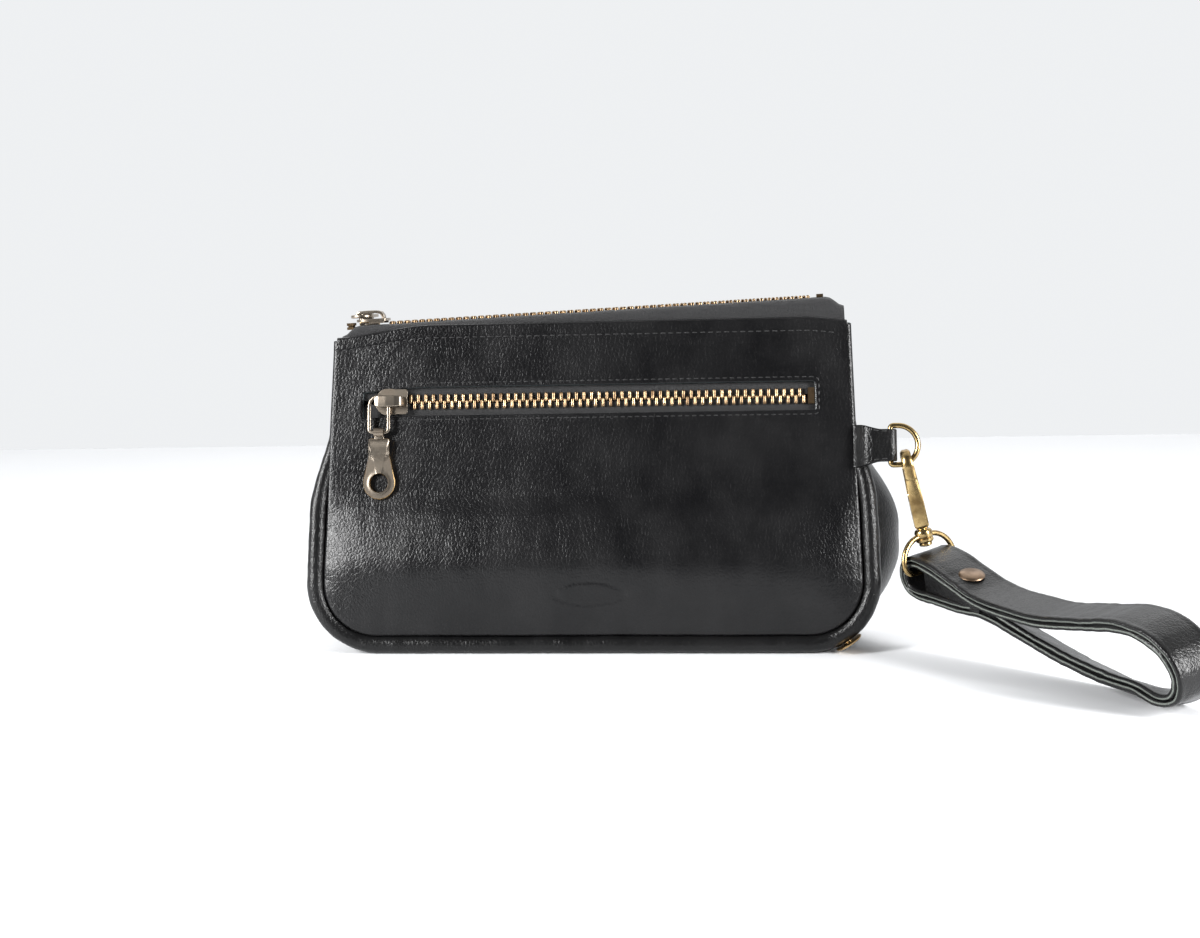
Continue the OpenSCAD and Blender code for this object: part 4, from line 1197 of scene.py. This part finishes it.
MAIN_TAPE = [(0.7, 0.0), (2.9, 0.05), (4.3, -0.2), (5.2, -0.9), (5.6, -2.0), (6.0, -4.5), (6.6, -9), (7.1, -13)]
POCKET_TAPE = [(0.7, 0.0), (2.9, 0.0), (4.4, -0.12), (6.5, -0.2), (11.4, -0.2)]
for zip_side, where in ((-1, "front"), (1, "rear")):
    make_tape(f"top_tape_{where}", f"main_tape_{where}", MAIN_ZIP, 93, 0, MAIN_TAPE, zip_side, end_sag=3.5)
    make_teeth(f"top_teeth_{where}", f"main_teeth_{where}", MAIN_ZIP, zip_side)
for zip_side, where in ((1, "upper"), (-1, "lower")):
    make_tape(f"front_tape_{where}", f"pocket_tape_{where}", POCKET_ZIP, 87, WINDOW_X, POCKET_TAPE, zip_side)
    make_teeth(f"front_teeth_{where}", f"pocket_teeth_{where}", POCKET_ZIP, zip_side)

POCKET_PULL_DROP, MAIN_PULL_DROP = 1.55, 0.65
make_slider("front_slider", "pocket_slider", POCKET_SLIDER, "pocket_slider")
make_bail("front_bail", "pocket_bail", POCKET_SLIDER, "pocket_bail", -1)
pocket_hinge = POCKET_SLIDER.copy()
pocket_hinge.translation = joint_place("pocket_pull_lift")
make_pull("front_pull", "pocket_pull", pocket_hinge, "pocket_pull", POCKET_PULL_DROP)
make_slider("top_slider", "main_slider", MAIN_SLIDER, "main_slider")
make_bail("top_bail", "main_bail", MAIN_SLIDER, "main_bail", 1)
main_hinge = MAIN_SLIDER.copy()
main_hinge.translation = joint_place("main_pull_lift")
MAIN_PULL_FALL = radians(79)
make_pull("top_pull", "main_pull", main_hinge @ Matrix.Rotation(-MAIN_PULL_FALL, 4, "X") @ Matrix.Rotation(pi, 4, "Z"),
          "main_pull", MAIN_PULL_DROP)

make_tab()
piece("side_loop_stitches", tab_stitches(), "bag", [thread])
make_side_ring()
make_hook()
make_swivel_ring()
make_strap()
make_tongue()
make_rivet()
make_stud()

for node in ("main_top_stops", "main_bottom_stop", "pocket_end_stop"):
    repaint(node, teeth_brass)
for node in ("gate_pin", "hook_gate"):
    repaint(node, ring_brass)
repaint("gate_spring", spring_steel)
for node in ("lining", "pocket_bag"):
    repaint(node, lining_cloth)


# ---- Setting, light and camera ----


def stage_material(name, colour, rough):
    s = Shader(name)
    mottle = s.grain(90, detail=3)
    s.colours(mottle, [(0.3, tuple(0.985 * c for c in colour)), (0.7, colour)])
    s.roughness(s.ranged(mottle, rough, rough + 0.08))
    return s.material


def make_floor():
    """A pale table whose near edge shows at the bottom of the view."""
    near, far, half = -212, 860, 4000
    points = [(-half, near, -0.02), (half, near, -0.02), (half, far, -0.02), (-half, far, -0.02),
              (-half, near - 160, -200), (half, near - 160, -200)]
    mesh = bpy.data.meshes.new("table")
    mesh.from_pydata([Vector(p) * MM for p in points], [], [(0, 1, 2, 3), (1, 0, 4, 5)])
    mesh.materials.append(stage_material("table_white", (0.86, 0.87, 0.885), 0.55))
    table = bpy.data.objects.new("table", mesh)
    bpy.context.scene.collection.objects.link(table)


def area_light(name, place, aim, size, power):
    data = bpy.data.lights.new(name, "AREA")
    data.shape = "RECTANGLE"
    data.size, data.size_y = (side * MM for side in size)
    data.energy = power
    light = bpy.data.objects.new(name, data)
    light.location = Vector(place) * MM
    light.rotation_euler = (Vector(aim) - Vector(place)).to_track_quat("-Z", "Y").to_euler()
    bpy.context.scene.collection.objects.link(light)


def make_world():
    """A studio that is pale behind the bag and dimmer behind the camera."""
    world = bpy.data.worlds.new("studio")
    world.use_nodes = True
    tree = world.node_tree
    background = tree.nodes["Background"]
    direction = tree.nodes.new("ShaderNodeTexCoord").outputs["Generated"]
    parts = tree.nodes.new("ShaderNodeSeparateXYZ")
    ramp = tree.nodes.new("ShaderNodeValToRGB")
    shift = tree.nodes.new("ShaderNodeMapRange")
    for key, number in (("From Min", -1), ("From Max", 1), ("To Min", 0), ("To Max", 1)):
        shift.inputs[key].default_value = number
    tree.links.new(direction, parts.inputs[0])
    tree.links.new(parts.outputs["Y"], shift.inputs["Value"])
    tree.links.new(shift.outputs["Result"], ramp.inputs["Fac"])
    ramp.color_ramp.elements[0].position, ramp.color_ramp.elements[0].color = 0.4, (0.05, 0.052, 0.055, 1)
    ramp.color_ramp.elements[1].position, ramp.color_ramp.elements[1].color = 0.85, (0.86, 0.875, 0.89, 1)
    tree.links.new(ramp.outputs["Color"], background.inputs["Color"])
    background.inputs["Strength"].default_value = 1.0
    bpy.context.scene.world = world


def make_camera():
    """A 50 mm lens, a little to the right and above the bag, and rolled slightly."""
    yaw, pitch, roll = radians(6.0), radians(5.9), radians(1.3)
    distance, height, aside = 625, 129.6, 2.5
    right = Vector((cos(yaw), sin(yaw), 0))
    ahead = Vector((-sin(yaw), cos(yaw), 0))
    look = ahead * cos(pitch) - UP * sin(pitch)
    up = ahead * sin(pitch) + UP * cos(pitch)
    side = right * cos(roll) - up * sin(roll)
    top = right * sin(roll) + up * cos(roll)
    data = bpy.data.cameras.new("camera")
    data.lens, data.sensor_width = 50.4, 36
    data.clip_start, data.clip_end = 0.01, 50
    camera = bpy.data.objects.new("camera", data)
    place = -ahead * distance + right * aside + UP * height
    camera.matrix_world = Matrix.Translation(place * MM) @ Matrix((side, top, -look)).transposed().to_4x4()
    bpy.context.scene.collection.objects.link(camera)
    bpy.context.scene.camera = camera


make_floor()
make_world()
area_light("left_window", (-660, -500, 330), (-40, 0, 45), (240, 440), 15)
area_light("overhead", (0, 120, 1000), (0, 0, 0), (1500, 700), 2.2)
area_light("far_overhead", (0, 900, 900), (0, 700, 0), (3000, 700), 10)
area_light("right_window", (740, -420, 300), (70, 0, 45), (200, 400), 12)
make_camera()
bpy.context.scene.view_settings.view_transform = "Standard"
